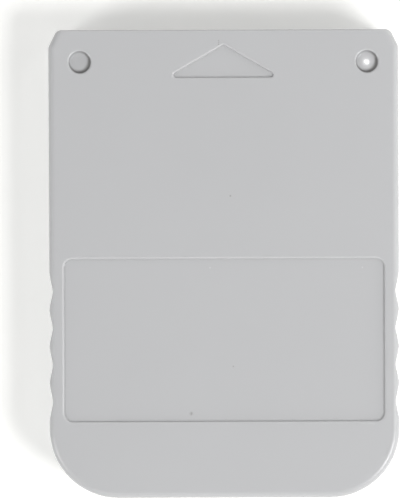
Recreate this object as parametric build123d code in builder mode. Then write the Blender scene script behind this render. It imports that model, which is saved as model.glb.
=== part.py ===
from build123d import *
import os

# Console memory card: a flat moulded case in two halves, clipped and screwed together round a small
# circuit board, whose contacts face into a mouth at the nose, the end that goes into the console.
# X runs across the card, Y along it towards the nose, Z up from the back to the labelled front.
# The origin is the middle of the back face, on which the card lies. Sizes are in millimetres.

# Case
card_width = 42.0
card_length = 56.1
card_thickness = 8.0
parting_height = 4.0
front_wall = 1.4
back_wall = 1.3
side_wall = 1.9
tail_radius = 8.3
nose_chamfer_across = 1.0
nose_chamfer_along = 2.0
nose_blend = 1.2
rim_radius = 0.8
nose_rim_bevel = 0.3
parting_bevel = 0.12

# Grip waves, cut into both long sides
grip_count = 4
grip_pitch = 4.42
grip_depth = 0.52
grip_round = 1.3
grip_from_tail = 11.54

# Front face
label_length = 19.5
label_margin = 1.7
label_from_tail = 9.2
label_corner = 1.05
label_depth = 0.3
label_edge_bevel = 0.13
arrow_width = 13.6
arrow_height = 3.93
arrow_base_from_nose = 5.7
arrow_corner = 0.3
arrow_depth = 0.3
arrow_edge_bevel = 0.1
dimple_diameter = 2.7
dimple_depth = 0.55
dimple_floor_bevel = 0.2
dimple_mouth_bevel = 0.18
dimple_from_side = 3.8
dimple_from_nose = 3.85
dimple_backing = 0.7

# Lap joint between the halves, with snap catches on its lip
lip_thickness = 0.7
lip_height = 0.8
lip_clearance = 0.05
lip_from_nose = 6.0
catch_length = 4.0
catch_height = 0.4
catch_depth = 0.3
catch_clearance = 0.1
catch_from_nose = 10.0
catch_spacing = 10.0

# Circuit board, parts side down on the back half's supports
board_thickness = 1.2
board_gap = 0.3
board_play = 0.05
board_margin = 1.6
board_corner = 0.8

# Connector mouth and contacts, counted from the +X side
contact_count = 8
contact_pitch = 3.6
contact_width = 1.8
contact_length = 6.0
contact_thickness = 0.08
contact_from_board_edge = 0.2
first_group_count = 2
second_group_count = 3
mouth_side_room = 1.9
mouth_lead_in = 0.3
cheek_wall = 1.2
bulkhead_wall = 1.0
bulkhead_gap = 0.8
divider_width = 1.2
divider_setback = 0.5

# Ribs and posts that hold the board
rib_width = 1.2
rib_reach = 2.2
rib_from_board_tail = 3.0
rib_spacing = 9.0
hold_rib_from_middle = 9.0
hold_rib_length = 6.0
post_diameter = 1.8
post_clearance = 0.1
post_reach = 0.4
post_from_edge = 3.0
post_from_board_tail = 3.0

# Case screw, and the boss and tower that it joins
screw_diameter = 1.8
screw_head_diameter = 3.6
screw_head_height = 1.2
screw_sunk = 0.4
screw_fit = 0.03
screw_hole_clearance = 0.2
screw_tip_gap = 0.2
screw_from_board = 7.0
screw_slot_length = 2.0
screw_slot_width = 0.45
screw_slot_depth = 0.6
counterbore_clearance = 0.2
tower_wall = 0.9
tower_below_parting = 0.6
boss_wall = 1.4

# Components on the board
part_gap = 1.0
chip_draft = 7.0
chip_standoff = 0.1
memory_length = 18.4
memory_width = 8.0
memory_height = 1.0
memory_from_middle = 3.6
memory_lead_count = 16
memory_lead_pitch = 0.47
memory_lead_width = 0.2
memory_lead_reach = 0.8
memory_lead_shoulder = 0.3
controller_side = 10.0
controller_height = 1.4
controller_from_middle = -5.4
controller_lead_count = 11
controller_lead_pitch = 0.8
controller_lead_width = 0.35
controller_lead_reach = 1.3
controller_lead_shoulder = 0.5
lead_thickness = 0.15
detector_length = 2.9
detector_width = 1.3
detector_height = 1.0
detector_lead_pitch = 0.95
detector_lead_width = 0.4
detector_lead_reach = 0.75
detector_lead_shoulder = 0.3
resonator_length = 7.2
resonator_width = 3.3
resonator_height = 1.5
tantalum_length = 3.2
tantalum_width = 1.6
tantalum_height = 1.6
chip_part_length = 2.0
chip_part_width = 1.25
capacitor_height = 0.85
resistor_height = 0.5
resistor_count = 5

# Places worked out from the sizes
side_x = card_width / 2
nose_y = card_length / 2
tail_y = -card_length / 2
cavity_x = side_x - side_wall
cavity_nose_y = nose_y - side_wall
ceiling = card_thickness - front_wall
lip_face_x = cavity_x + lip_thickness
catch_low = parting_height + (lip_height - catch_height) / 2
catch_ys = [nose_y - catch_from_nose, nose_y - catch_from_nose - catch_spacing]

board_top = parting_height + board_thickness
board_x = cavity_x - board_gap
board_nose_y = cavity_nose_y - board_gap

contact_y = board_nose_y - contact_from_board_edge - contact_length / 2
contact_xs = [((contact_count - 1) / 2 - n) * contact_pitch for n in range(contact_count)]
divider_after = [first_group_count, first_group_count + second_group_count]
divider_xs = [contact_xs[n] + contact_pitch / 2 for n in divider_after]
mouth_x = contact_xs[0] + contact_width / 2 + mouth_side_room
bulkhead_y = contact_y - contact_length / 2 - bulkhead_gap - bulkhead_wall / 2

resistor_y = bulkhead_y - bulkhead_wall / 2 - part_gap - chip_part_length / 2
memory_y = resistor_y - chip_part_length / 2 - part_gap - memory_width / 2
controller_reach = controller_side / 2 + controller_lead_reach
controller_y = memory_y - memory_width / 2 - part_gap - controller_reach
board_tail_y = controller_y - controller_reach - board_margin

post_x = board_x - post_from_edge
post_y = board_tail_y + post_from_board_tail
post_radius = post_diameter / 2

screw_y = board_tail_y - screw_from_board
screw_radius = screw_diameter / 2
screw_seat = screw_sunk + screw_head_height
screw_tip = ceiling - screw_tip_gap
tower_top = parting_height - tower_below_parting
counterbore_radius = screw_head_diameter / 2 + counterbore_clearance

os.makedirs("parts", exist_ok=True)


def write(builder, name):
    """Name a finished piece and write it to its own file."""
    builder.part.label = name
    export_step(builder.part, f"parts/{name}.step")


# Plan outline of the case, with chamfered nose corners and a round tail
with BuildSketch() as outline:
    with BuildLine():
        Polyline(
            (side_x - nose_chamfer_across, nose_y),
            (side_x, nose_y - nose_chamfer_along),
            (side_x, tail_y),
            (-side_x, tail_y),
            (-side_x, nose_y - nose_chamfer_along),
            (nose_chamfer_across - side_x, nose_y),
            close=True,
        )
    make_face()
    fillet(outline.vertices().group_by(Axis.Y)[-2], nose_blend)
    fillet(outline.vertices().group_by(Axis.Y)[0], tail_radius)

# Grip waves, a zigzag with rounded corners along one side, mirrored to the other
hollow_ys = [tail_y + grip_from_tail + n * grip_pitch for n in range(grip_count)]
wave_points = [(side_x + grip_depth, hollow_ys[0] - grip_pitch)]
for hollow_y in hollow_ys:
    wave_points.append((side_x - grip_depth, hollow_y))
    wave_points.append((side_x, hollow_y + grip_pitch / 2))
wave_points[-1] = (side_x + grip_depth, hollow_ys[-1] + grip_pitch)

with BuildSketch() as grip_waves:
    with BuildLine():
        FilletPolyline(*wave_points, radius=grip_round)
        Line(wave_points[-1], wave_points[0])
    make_face()
    mirror(about=Plane.YZ)


def round_rim(shell, direction):
    """Round a shell's outer rim, wide along the sides and tail and tight along the nose."""
    rim = shell.faces().sort_by(direction)[-1].edges().sort_by(Axis.Y)
    fillet(rim[:-1], rim_radius)
    nose_edge = shell.faces().sort_by(direction)[-1].edges().sort_by(Axis.Y)[-1]
    chamfer(nose_edge, nose_rim_bevel)


def cut_grips():
    """Cut the grip waves straight through the open part."""
    extrude(grip_waves.sketch, amount=card_thickness, dir=(0, 0, 1), mode=Mode.SUBTRACT)


def lip_outline(clearance):
    """Outer edge of the lip, grown by a clearance and left out along the nose, in the open sketch."""
    offset(outline.sketch, amount=lip_thickness + clearance - side_wall)
    with Locations((0, nose_y)):
        Rectangle(card_width, 2 * (lip_from_nose - clearance), mode=Mode.SUBTRACT)


# Front half of the case, from the parting plane up to the labelled face
with BuildPart() as front_shell:
    with BuildSketch(Plane.XY.offset(parting_height)):
        add(outline.sketch)
    extrude(amount=card_thickness - parting_height)
    round_rim(front_shell, Axis.Z)
    cut_grips()

    # Hollow, with a step round its edge for the lip of the back half
    with BuildSketch(Plane.XY.offset(parting_height)):
        offset(outline.sketch, amount=-side_wall)
    extrude(amount=ceiling - parting_height, mode=Mode.SUBTRACT)
    with BuildSketch(Plane.XY.offset(parting_height)):
        lip_outline(lip_clearance)
    extrude(amount=lip_height + lip_clearance, mode=Mode.SUBTRACT)
    chamfer(front_shell.faces().sort_by(Axis.Z)[0].outer_wire().edges(), parting_bevel)

    # Pockets for the snap catches
    with BuildSketch(Plane.XY.offset(catch_low - catch_clearance)):
        with Locations(*[(x, y) for x in (lip_face_x, -lip_face_x) for y in catch_ys]):
            Rectangle(2 * (catch_depth + catch_clearance), catch_length + 2 * catch_clearance)
    extrude(amount=catch_height + 2 * catch_clearance, mode=Mode.SUBTRACT)

    # Recess for a label
    with BuildSketch(Plane.XY.offset(card_thickness)):
        with Locations((0, tail_y + label_from_tail + label_length / 2)):
            RectangleRounded(card_width - 2 * label_margin, label_length, label_corner)
    extrude(amount=-label_depth, mode=Mode.SUBTRACT)
    face = front_shell.faces().sort_by(Axis.Z)[-1]
    chamfer(face.inner_wires()[0].edges(), label_edge_bevel)

    # Sunk arrow that points to the nose
    with BuildSketch(Plane.XY.offset(card_thickness)) as arrow:
        with BuildLine():
            arrow_base_y = nose_y - arrow_base_from_nose
            Polyline(
                (-arrow_width / 2, arrow_base_y),
                (arrow_width / 2, arrow_base_y),
                (0, arrow_base_y + arrow_height),
                close=True,
            )
        make_face()
        fillet(arrow.vertices(), arrow_corner)
    extrude(amount=-arrow_depth, mode=Mode.SUBTRACT)
    face = front_shell.faces().sort_by(Axis.Z)[-1]
    chamfer(face.inner_wires().sort_by(Axis.Y)[-1].edges(), arrow_edge_bevel)

    # Round dimples in the nose corners, each with more wall behind it
    dimple_radius = dimple_diameter / 2
    dimple_x = side_x - dimple_from_side
    dimple_y = nose_y - dimple_from_nose
    with BuildSketch(Plane.XY.offset(ceiling)):
        with Locations((-dimple_x, dimple_y), (dimple_x, dimple_y)):
            Rectangle(dimple_diameter + 2 * dimple_backing, dimple_diameter + 2 * dimple_backing)
        offset(outline.sketch, amount=-side_wall / 2, mode=Mode.INTERSECT)
    extrude(amount=-dimple_backing)
    for x in (-dimple_x, dimple_x):
        dimple_plane = Plane((x, dimple_y, card_thickness), x_dir=(1, 0, 0), z_dir=(0, -1, 0))
        with BuildSketch(dimple_plane) as bowl:
            Rectangle(dimple_radius, dimple_depth, align=(Align.MIN, Align.MAX))
            chamfer(bowl.vertices().group_by(Axis.Y)[0].sort_by(Axis.X)[-1], dimple_floor_bevel)
        revolve(axis=Axis((x, dimple_y, 0), (0, 0, 1)), mode=Mode.SUBTRACT)
    face = front_shell.faces().sort_by(Axis.Z)[-1]
    mouths = face.inner_wires().sort_by(SortBy.LENGTH)[:2]
    chamfer(mouths[0].edges() + mouths[1].edges(), dimple_mouth_bevel)

    # Ribs that hold the board down, along the contacts and at the board's tail
    with BuildSketch(Plane.XY.offset(board_top + board_play)):
        for rib_x in (-hold_rib_from_middle, hold_rib_from_middle):
            with Locations((rib_x, contact_y), (rib_x, board_tail_y + hold_rib_length / 2)):
                Rectangle(rib_width, hold_rib_length)
    extrude(amount=ceiling - board_top - board_play)

    # Posts that pass through the board
    with BuildSketch(Plane.XY.offset(ceiling)):
        with Locations((-post_x, post_y), (post_x, post_y)):
            Circle(post_radius)
    extrude(amount=parting_height - post_reach - ceiling)

    # Boss that the screw bites into
    with BuildSketch(Plane.XY.offset(ceiling)):
        with Locations((0, screw_y)):
            Circle(screw_radius + boss_wall)
    extrude(amount=tower_top - ceiling)
    with BuildSketch(Plane.XY.offset(tower_top)):
        with Locations((0, screw_y)):
            Circle(screw_radius + screw_fit)
    extrude(amount=ceiling - tower_top, mode=Mode.SUBTRACT)

write(front_shell, "front_shell")

# Back half of the case, from the back face up to the parting plane and the lip above it
with BuildPart() as back_shell:
    with BuildSketch():
        add(outline.sketch)
    extrude(amount=parting_height)
    round_rim(back_shell, -Axis.Z)
    cut_grips()
    chamfer(back_shell.faces().sort_by(Axis.Z)[-1].outer_wire().edges(), parting_bevel)

    # Lip and hollow
    with BuildSketch(Plane.XY.offset(parting_height)):
        lip_outline(0)
    extrude(amount=lip_height)
    with BuildSketch(Plane.XY.offset(back_wall)):
        offset(outline.sketch, amount=-side_wall)
    extrude(amount=card_thickness, mode=Mode.SUBTRACT)

    # Snap catches, wedges along the outside of the lip
    for catch_y in catch_ys:
        with BuildSketch(Plane.XZ.offset(-catch_y)):
            with BuildLine():
                Polyline(
                    (lip_face_x - lip_thickness / 2, catch_low),
                    (lip_face_x, catch_low),
                    (lip_face_x + catch_depth, catch_low + catch_height / 2),
                    (lip_face_x, catch_low + catch_height),
                    (lip_face_x - lip_thickness / 2, catch_low + catch_height),
                    close=True,
                )
            make_face()
            mirror(about=Plane.YZ)
        extrude(amount=catch_length / 2, both=True)

    # Connector mouth, an opening in the nose wall with a lead-in round its outer edge
    with BuildSketch(Plane.XY.offset(back_wall)):
        with Locations((0, nose_y - side_wall / 2)):
            Rectangle(2 * mouth_x, 2 * side_wall)
    extrude(amount=parting_height - back_wall, mode=Mode.SUBTRACT)
    nose_face = back_shell.faces().filter_by(Axis.Y).sort_by(Axis.Y)[-1]
    mouth_edges = nose_face.edges().filter_by_position(Axis.X, -mouth_x, mouth_x)
    mouth_edges = mouth_edges.filter_by_position(Axis.Z, back_wall, parting_height - parting_bevel)
    chamfer(mouth_edges, mouth_lead_in)

    # Cheeks, bulkhead and dividers that make the mouth a closed socket of three cells
    with BuildSketch(Plane.XY.offset(back_wall)):
        cheek_length = cavity_nose_y - bulkhead_y + bulkhead_wall / 2
        cheek_y = cavity_nose_y - cheek_length / 2
        with Locations((mouth_x + cheek_wall / 2, cheek_y), (-mouth_x - cheek_wall / 2, cheek_y)):
            Rectangle(cheek_wall, cheek_length)
        with Locations((0, bulkhead_y)):
            Rectangle(2 * mouth_x, bulkhead_wall)
        divider_length = nose_y - divider_setback - bulkhead_y
        with Locations(*[(x, bulkhead_y + divider_length / 2) for x in divider_xs]):
            Rectangle(divider_width, divider_length)
    extrude(amount=parting_height - back_wall)

    # Ribs under the board's long edges
    with BuildSketch(Plane.XY.offset(back_wall)):
        first_rib_y = board_tail_y + rib_from_board_tail
        for rib_y in (first_rib_y, first_rib_y + rib_spacing):
            with Locations((cavity_x - rib_reach / 2, rib_y), (rib_reach / 2 - cavity_x, rib_y)):
                Rectangle(rib_reach, rib_width)
    extrude(amount=parting_height - back_wall)

    # Tower for the case screw, with its head sunk in the back
    with BuildSketch(Plane.XY.offset(back_wall)):
        with Locations((0, screw_y)):
            Circle(counterbore_radius + tower_wall)
    extrude(amount=tower_top - back_wall)
    with Locations(Location((0, screw_y, 0), (180, 0, 0))):
        CounterBoreHole(screw_radius + screw_hole_clearance, counterbore_radius, screw_seat)

write(back_shell, "back_shell")

# Case screw, put in from the back
with BuildPart() as case_screw:
    screw_plane = Plane((0, screw_y, 0), x_dir=(1, 0, 0), z_dir=(0, -1, 0))
    with BuildSketch(screw_plane):
        with BuildLine():
            Polyline(
                (0, screw_sunk),
                (screw_head_diameter / 2, screw_sunk),
                (screw_head_diameter / 2, screw_seat),
                (screw_radius, screw_seat),
                (screw_radius, screw_tip),
                (0, screw_tip),
                close=True,
            )
        make_face()
    revolve(axis=Axis((0, screw_y, 0), (0, 0, 1)))
    with BuildSketch(Plane.XY.offset(screw_sunk)):
        with Locations((0, screw_y)):
            Rectangle(screw_slot_length, screw_slot_width)
            Rectangle(screw_slot_width, screw_slot_length)
    extrude(amount=screw_slot_depth, mode=Mode.SUBTRACT)

write(case_screw, "case_screw")

# Circuit board, cut to the cavity's outline and held by the posts
with BuildPart() as circuit_board:
    with BuildSketch(Plane.XY.offset(parting_height)) as board_sketch:
        offset(outline.sketch, amount=-side_wall - board_gap)
        with Locations((0, board_tail_y)):
            Rectangle(card_width, card_length, align=(Align.CENTER, Align.MAX), mode=Mode.SUBTRACT)
        chamfer(board_sketch.vertices().group_by(Axis.Y)[0], board_corner)
        with Locations((-post_x, post_y), (post_x, post_y)):
            Circle(post_radius + post_clearance, mode=Mode.SUBTRACT)
    extrude(amount=board_thickness)

write(circuit_board, "circuit_board")

# Contacts on the board's underside, in the mouth
for number, contact_x in enumerate(contact_xs, start=1):
    with BuildPart() as contact_finger:
        with BuildSketch(Plane.XY.offset(parting_height)):
            with Locations((contact_x, contact_y)):
                Rectangle(contact_width, contact_length)
        extrude(amount=-contact_thickness)
    write(contact_finger, f"contact_finger_{number}")


def moulded_body(x, y, length, width, height):
    """Moulded package under the board, drafted both ways from its middle."""
    with BuildPart() as body:
        with BuildSketch(Plane.XY.offset(parting_height - chip_standoff - height / 2)):
            with Locations((x, y)):
                Rectangle(length, width)
        extrude(amount=height / 2, both=True, taper=chip_draft)
    return body


def lead_plane(x, y, out):
    """Plane of one lead, with its X away from the package and its Y up."""
    return Plane((x, y, parting_height), x_dir=out, z_dir=Vector(out).cross(Vector(0, 0, 1)))


def bent_leads(planes, height, shoulder, reach, width):
    """Leads that leave a package at half its height and step up to the board, one on each plane."""
    middle = -chip_standoff - height / 2
    with BuildPart() as leads:
        with BuildSketch(*planes):
            with BuildLine():
                Polyline(
                    (0, middle - lead_thickness / 2),
                    (shoulder, middle - lead_thickness / 2),
                    (shoulder, -lead_thickness),
                    (reach, -lead_thickness),
                    (reach, 0),
                    (shoulder - lead_thickness, 0),
                    (shoulder - lead_thickness, middle + lead_thickness / 2),
                    (0, middle + lead_thickness / 2),
                    close=True,
                )
            make_face()
        extrude(amount=width / 2, both=True)
    return leads


def board_block(x, y, length, width, height):
    """Block seated on the board's underside."""
    with BuildPart() as block:
        with BuildSketch(Plane.XY.offset(parting_height)):
            with Locations((x, y)):
                Rectangle(length, width)
        extrude(amount=-height)
    return block


def row(count, pitch):
    """Even places about zero."""
    return [(n - (count - 1) / 2) * pitch for n in range(count)]


# Memory, a thin package with a row of leads at each end
memory_x = memory_from_middle
memory_end = memory_length / 2
memory_planes = []
for step in row(memory_lead_count, memory_lead_pitch):
    memory_planes.append(lead_plane(memory_x + memory_end, memory_y + step, (1, 0, 0)))
    memory_planes.append(lead_plane(memory_x - memory_end, memory_y + step, (-1, 0, 0)))

memory_chip_body = moulded_body(memory_x, memory_y, memory_length, memory_width, memory_height)
memory_chip_leads = bent_leads(
    memory_planes, memory_height, memory_lead_shoulder, memory_lead_reach, memory_lead_width
)
write(memory_chip_body, "memory_chip_body")
write(memory_chip_leads, "memory_chip_leads")

# Controller, a square package with leads on all four sides
controller_x = controller_from_middle
controller_edge = controller_side / 2
controller_planes = []
for step in row(controller_lead_count, controller_lead_pitch):
    controller_planes.append(lead_plane(controller_x + controller_edge, controller_y + step, (1, 0, 0)))
    controller_planes.append(lead_plane(controller_x - controller_edge, controller_y + step, (-1, 0, 0)))
    controller_planes.append(lead_plane(controller_x + step, controller_y + controller_edge, (0, 1, 0)))
    controller_planes.append(lead_plane(controller_x + step, controller_y - controller_edge, (0, -1, 0)))

controller_chip_body = moulded_body(
    controller_x, controller_y, controller_side, controller_side, controller_height
)
controller_chip_leads = bent_leads(
    controller_planes,
    controller_height,
    controller_lead_shoulder,
    controller_lead_reach,
    controller_lead_width,
)
write(controller_chip_body, "controller_chip_body")
write(controller_chip_leads, "controller_chip_leads")

# Ceramic resonator, beside the controller
beside_controller_x = controller_x + controller_reach + part_gap
resonator_x = beside_controller_x + resonator_length / 2
ceramic_resonator = board_block(
    resonator_x, controller_y, resonator_length, resonator_width, resonator_height
)
write(ceramic_resonator, "ceramic_resonator")

# Voltage detector, a package with three leads, beside the controller and the resonator
detector_half = detector_width / 2
detector_y = controller_y + resonator_width / 2 + part_gap + detector_lead_reach + detector_half
detector_planes = [lead_plane(resonator_x, detector_y + detector_half, (0, 1, 0))]
for step in row(2, 2 * detector_lead_pitch):
    detector_planes.append(lead_plane(resonator_x + step, detector_y - detector_half, (0, -1, 0)))

voltage_detector_body = moulded_body(
    resonator_x, detector_y, detector_length, detector_width, detector_height
)
voltage_detector_leads = bent_leads(
    detector_planes,
    detector_height,
    detector_lead_shoulder,
    detector_lead_reach,
    detector_lead_width,
)
write(voltage_detector_body, "voltage_detector_body")
write(voltage_detector_leads, "voltage_detector_leads")

# Tantalum capacitor, beside the memory
beside_memory_x = memory_x - memory_end - memory_lead_reach - part_gap
tantalum_capacitor = board_block(
    beside_memory_x - tantalum_length / 2, memory_y, tantalum_length, tantalum_width, tantalum_height
)
write(tantalum_capacitor, "tantalum_capacitor")

# Small capacitors, two by the memory, two by the controller and two by the resonator
by_memory_x = beside_memory_x - chip_part_width / 2
by_memory_step = tantalum_width / 2 + part_gap + chip_part_length / 2
by_controller_x = controller_x - controller_reach - part_gap - chip_part_width / 2
by_resonator_y = controller_y - resonator_width / 2 - part_gap - chip_part_length / 2
by_resonator_step = resonator_length / 2 - chip_part_width / 2
capacitor_places = [
    (by_memory_x, memory_y + by_memory_step),
    (by_memory_x, memory_y - by_memory_step),
    (by_controller_x, controller_y + chip_part_length + part_gap),
    (by_controller_x, controller_y),
    (resonator_x - by_resonator_step, by_resonator_y),
    (resonator_x + by_resonator_step, by_resonator_y),
]
for number, (x, y) in enumerate(capacitor_places, start=1):
    chip_capacitor = board_block(x, y, chip_part_width, chip_part_length, capacitor_height)
    write(chip_capacitor, f"chip_capacitor_{number}")

# Small resistors, in a row behind the bulkhead, on the contacts' pitch
for number, x in enumerate(row(resistor_count, contact_pitch), start=1):
    chip_resistor = board_block(x, resistor_y, chip_part_width, chip_part_length, resistor_height)
    write(chip_resistor, f"chip_resistor_{number}")
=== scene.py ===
# %% [markdown]
# # Console memory card
# A grey moulded card in two halves, clipped round a small circuit board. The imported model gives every
# piece its place and size. This lesson gives the pieces their finish and their fine edges, then lights
# them softly from the lower right and looks straight down on the front.

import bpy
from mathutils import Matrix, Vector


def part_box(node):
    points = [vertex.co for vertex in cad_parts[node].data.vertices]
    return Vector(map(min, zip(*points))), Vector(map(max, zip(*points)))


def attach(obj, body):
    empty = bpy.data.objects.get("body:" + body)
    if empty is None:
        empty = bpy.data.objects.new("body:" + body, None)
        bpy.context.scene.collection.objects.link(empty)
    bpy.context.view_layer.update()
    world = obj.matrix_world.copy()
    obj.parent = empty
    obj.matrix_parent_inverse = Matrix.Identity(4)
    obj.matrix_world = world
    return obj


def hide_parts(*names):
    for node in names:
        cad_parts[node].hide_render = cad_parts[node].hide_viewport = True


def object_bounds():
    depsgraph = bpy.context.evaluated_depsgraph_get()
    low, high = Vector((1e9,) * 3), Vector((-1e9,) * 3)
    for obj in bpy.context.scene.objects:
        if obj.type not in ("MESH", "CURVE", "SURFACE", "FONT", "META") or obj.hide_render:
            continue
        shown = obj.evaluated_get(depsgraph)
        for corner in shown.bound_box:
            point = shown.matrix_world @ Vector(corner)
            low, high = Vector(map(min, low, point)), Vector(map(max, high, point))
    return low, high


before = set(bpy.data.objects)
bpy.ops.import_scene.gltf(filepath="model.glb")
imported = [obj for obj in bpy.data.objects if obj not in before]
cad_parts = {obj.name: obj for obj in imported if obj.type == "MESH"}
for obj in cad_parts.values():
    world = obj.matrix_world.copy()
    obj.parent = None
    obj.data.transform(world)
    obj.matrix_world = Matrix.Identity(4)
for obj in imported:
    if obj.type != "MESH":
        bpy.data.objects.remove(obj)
cad_low, cad_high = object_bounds()
print("pieces in the frame:", len(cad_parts))

# %% [markdown]
# ## Tools and places
# Sizes are written in millimetres and turned into metres by one factor. The outer places come from
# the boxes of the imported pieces, so the finer meshes sit exactly where the solids are.

# %% Units and places
import math
from collections import namedtuple

import bmesh
import bpy
from mathutils import Matrix, Vector

mm = 0.001
merge_distance = 1e-7
plane_tolerance = 1e-6
cut_tolerance = 1e-8
front_low, front_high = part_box("front_shell")
side_x = front_high.x
nose_y = front_high.y
tail_y = front_low.y
top = front_high.z
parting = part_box("circuit_board")[0].z
card_size = [round(v / mm, 2) for v in cad_high - cad_low]
print("card", card_size, "mm, parting plane at", round(parting / mm, 2))


# %% Helpers for meshes
def new_piece(name, mesh):
    """Put a mesh into the scene as a piece at the origin."""
    piece = bpy.data.objects.new(name, mesh)
    bpy.context.scene.collection.objects.link(piece)
    return piece


def mesh_of(bm, name):
    """Turn a finished bmesh into a smooth-shaded mesh."""
    mesh = bpy.data.meshes.new(name)
    bm.to_mesh(mesh)
    bm.free()
    mesh.shade_smooth()
    return mesh


def baked(piece):
    """Apply all of a piece's modifiers, so that it is a plain mesh."""
    depsgraph = bpy.context.evaluated_depsgraph_get()
    mesh = bpy.data.meshes.new_from_object(piece.evaluated_get(depsgraph))
    piece.modifiers.clear()
    piece.data = mesh
    return piece


def even_normals(piece, sharp_angle):
    """Keep flat faces flat up to their rounded edges, and edges past an angle sharp."""
    piece.data.set_sharp_from_angle(angle=math.radians(sharp_angle))
    weighted = piece.modifiers.new("even normals", "WEIGHTED_NORMAL")
    weighted.weight = 100
    weighted.keep_sharp = True
    return baked(piece)


def ring(bm, points):
    """Vertices of one closed loop."""
    return [bm.verts.new(point) for point in points]


def circle(x, y, radius, height, count):
    """Points of a level circle."""
    points = []
    for index in range(count):
        angle = math.tau * index / count
        points.append((x + radius * math.cos(angle), y + radius * math.sin(angle), height))
    return points


def solid_copy(node):
    """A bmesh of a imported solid's own mesh, with its doubled points merged."""
    bm = bmesh.new()
    bm.from_mesh(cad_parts[node].data)
    bmesh.ops.remove_doubles(bm, verts=bm.verts, dist=merge_distance)
    return bm


def bridge(bm, first, second):
    """Quads between two loops with as many points each."""
    for index in range(len(first)):
        after = (index + 1) % len(first)
        bm.faces.new((first[index], second[index], second[after], first[after]))


def loop_edges(bm, loop):
    """Edges of a closed loop of vertices, made where they are missing."""
    edges = []
    for index, vert in enumerate(loop):
        edge = bm.edges.get((vert, loop[index - 1])) or bm.edges.new((vert, loop[index - 1]))
        edges.append(edge)
    return edges


# %% [markdown]
# ## Loops with rounded corners
# The card's outline, the label recess and the arrow are all polygons with rounded corners. One
# function draws such a loop at any inset, always with the same number of points, so that loops at
# different insets and heights can be joined by clean quads. Edges are of two kinds, because the rim is
# wide along the sides and tight along the nose, and each kind has an inset of its own.

# %% Rounded loops
Corner = namedtuple("Corner", "x y radius cuts kind", defaults=(0, 0))


def left_of(way):
    """Unit vector to the left, which is inwards on a loop that runs counter-clockwise."""
    return Vector((-way.y, way.x))


def rounded_loop(corners, insets, arc_steps):
    """Points (x, y, share) round a loop. share runs from 0 on edges of kind 0 to 1 on edges of kind 1."""
    arcs = []
    for index, corner in enumerate(corners):
        before = corners[index - 1]
        after = corners[(index + 1) % len(corners)]
        here = Vector((corner.x, corner.y))
        way_in = (here - Vector((before.x, before.y))).normalized()
        way_out = (Vector((after.x, after.y)) - here).normalized()
        inset_in = insets[before.kind]
        inset_out = insets[corner.kind]
        moved = here + (way_out * inset_in - way_in * inset_out) / way_in.cross(way_out)
        turn = way_in.angle_signed(way_out, 0.0)
        radius = max(corner.radius - (inset_in + inset_out) / 2, 0.0)
        start = moved - way_in * radius * abs(math.tan(turn / 2))
        centre = start + left_of(way_in) * radius
        arc = []
        for step in range(arc_steps + 1):
            share = step / arc_steps
            spoke = start - centre
            spoke.rotate(Matrix.Rotation(abs(turn) * share, 2))
            arc.append((*(centre + spoke), before.kind + (corner.kind - before.kind) * share))
        arcs.append(arc)
    points = []
    for index, corner in enumerate(corners):
        points += arcs[index]
        end = Vector(arcs[index][-1])
        following = Vector(arcs[(index + 1) % len(arcs)][0])
        following.z = end.z
        for cut in range(corner.cuts):
            points.append(tuple(end.lerp(following, (cut + 1) / (corner.cuts + 1))))
    return points


# %% [markdown]
# ## Geometry Nodes helper
# What repeats is made by node trees with named inputs. A tree runs as a modifier whose inputs are set
# by their identifiers, and its result is baked into a plain mesh straight away.

# %% Node tree helpers
SOCKETS = {
    float: "NodeSocketFloat",
    int: "NodeSocketInt",
    Vector: "NodeSocketVector",
    tuple: "NodeSocketColor",
}


def geometry_tree(name, inputs):
    """A tree with a geometry input and output, named inputs with their values, and a finish."""
    tree = bpy.data.node_groups.new(name, "GeometryNodeTree")
    tree.interface.new_socket("Geometry", in_out="INPUT", socket_type="NodeSocketGeometry")
    for label, value in inputs.items():
        socket = tree.interface.new_socket(label, in_out="INPUT", socket_type=SOCKETS[type(value)])
        socket.default_value = value
    tree.interface.new_socket("Finish", in_out="INPUT", socket_type="NodeSocketMaterial")
    tree.interface.new_socket("Geometry", in_out="OUTPUT", socket_type="NodeSocketGeometry")
    return tree, tree.nodes.new("NodeGroupInput"), tree.nodes.new("NodeGroupOutput")


def add_node(tree, kind, settings=None, **inputs):
    """Add a node, set its options and fill its inputs, by name or as numbered in_0, in_1 and so on."""
    node = tree.nodes.new(kind)
    for option, value in (settings or {}).items():
        setattr(node, option, value)
    number_prefix = "in_"
    for label, value in inputs.items():
        numbered = label.startswith(number_prefix)
        key = int(label.removeprefix(number_prefix)) if numbered else label.replace("_", " ")
        if isinstance(value, bpy.types.NodeSocket):
            tree.links.new(value, node.inputs[key])
        else:
            node.inputs[key].default_value = value
    return node


def calculate(tree, operation, *values):
    """One Math node on numbers or sockets."""
    inputs = {f"in_{index}": value for index, value in enumerate(values)}
    return add_node(tree, "ShaderNodeMath", {"operation": operation}, **inputs).outputs[0]


def close_tree(tree, end, geometry, finish):
    """End a tree in plain geometry with its finish."""
    real = add_node(tree, "GeometryNodeRealizeInstances", Geometry=geometry)
    done = add_node(tree, "GeometryNodeSetMaterial", Geometry=real.outputs[0], Material=finish)
    tree.links.new(done.outputs[0], end.inputs[0])


def run_tree(piece, tree, **values):
    """Run a tree on a piece with these inputs, and keep the result as its mesh."""
    modifier = piece.modifiers.new(tree.name, "NODES")
    modifier.node_group = tree
    for socket in tree.interface.items_tree:
        key = socket.name.lower().replace(" ", "_")
        if socket.in_out == "INPUT" and key in values:
            modifier[socket.identifier] = values[key]
    return baked(piece)


# %% [markdown]
# ## Shared surface effects
# The finishes share a few effects, each built once as a shader node group: a moulding grain from the
# spark-eroded tool, a slow drift of tone over a surface, and a single speck of dirt at a given place.
# They read Object coordinates, so the same pattern stays on the piece from every side.

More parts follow.
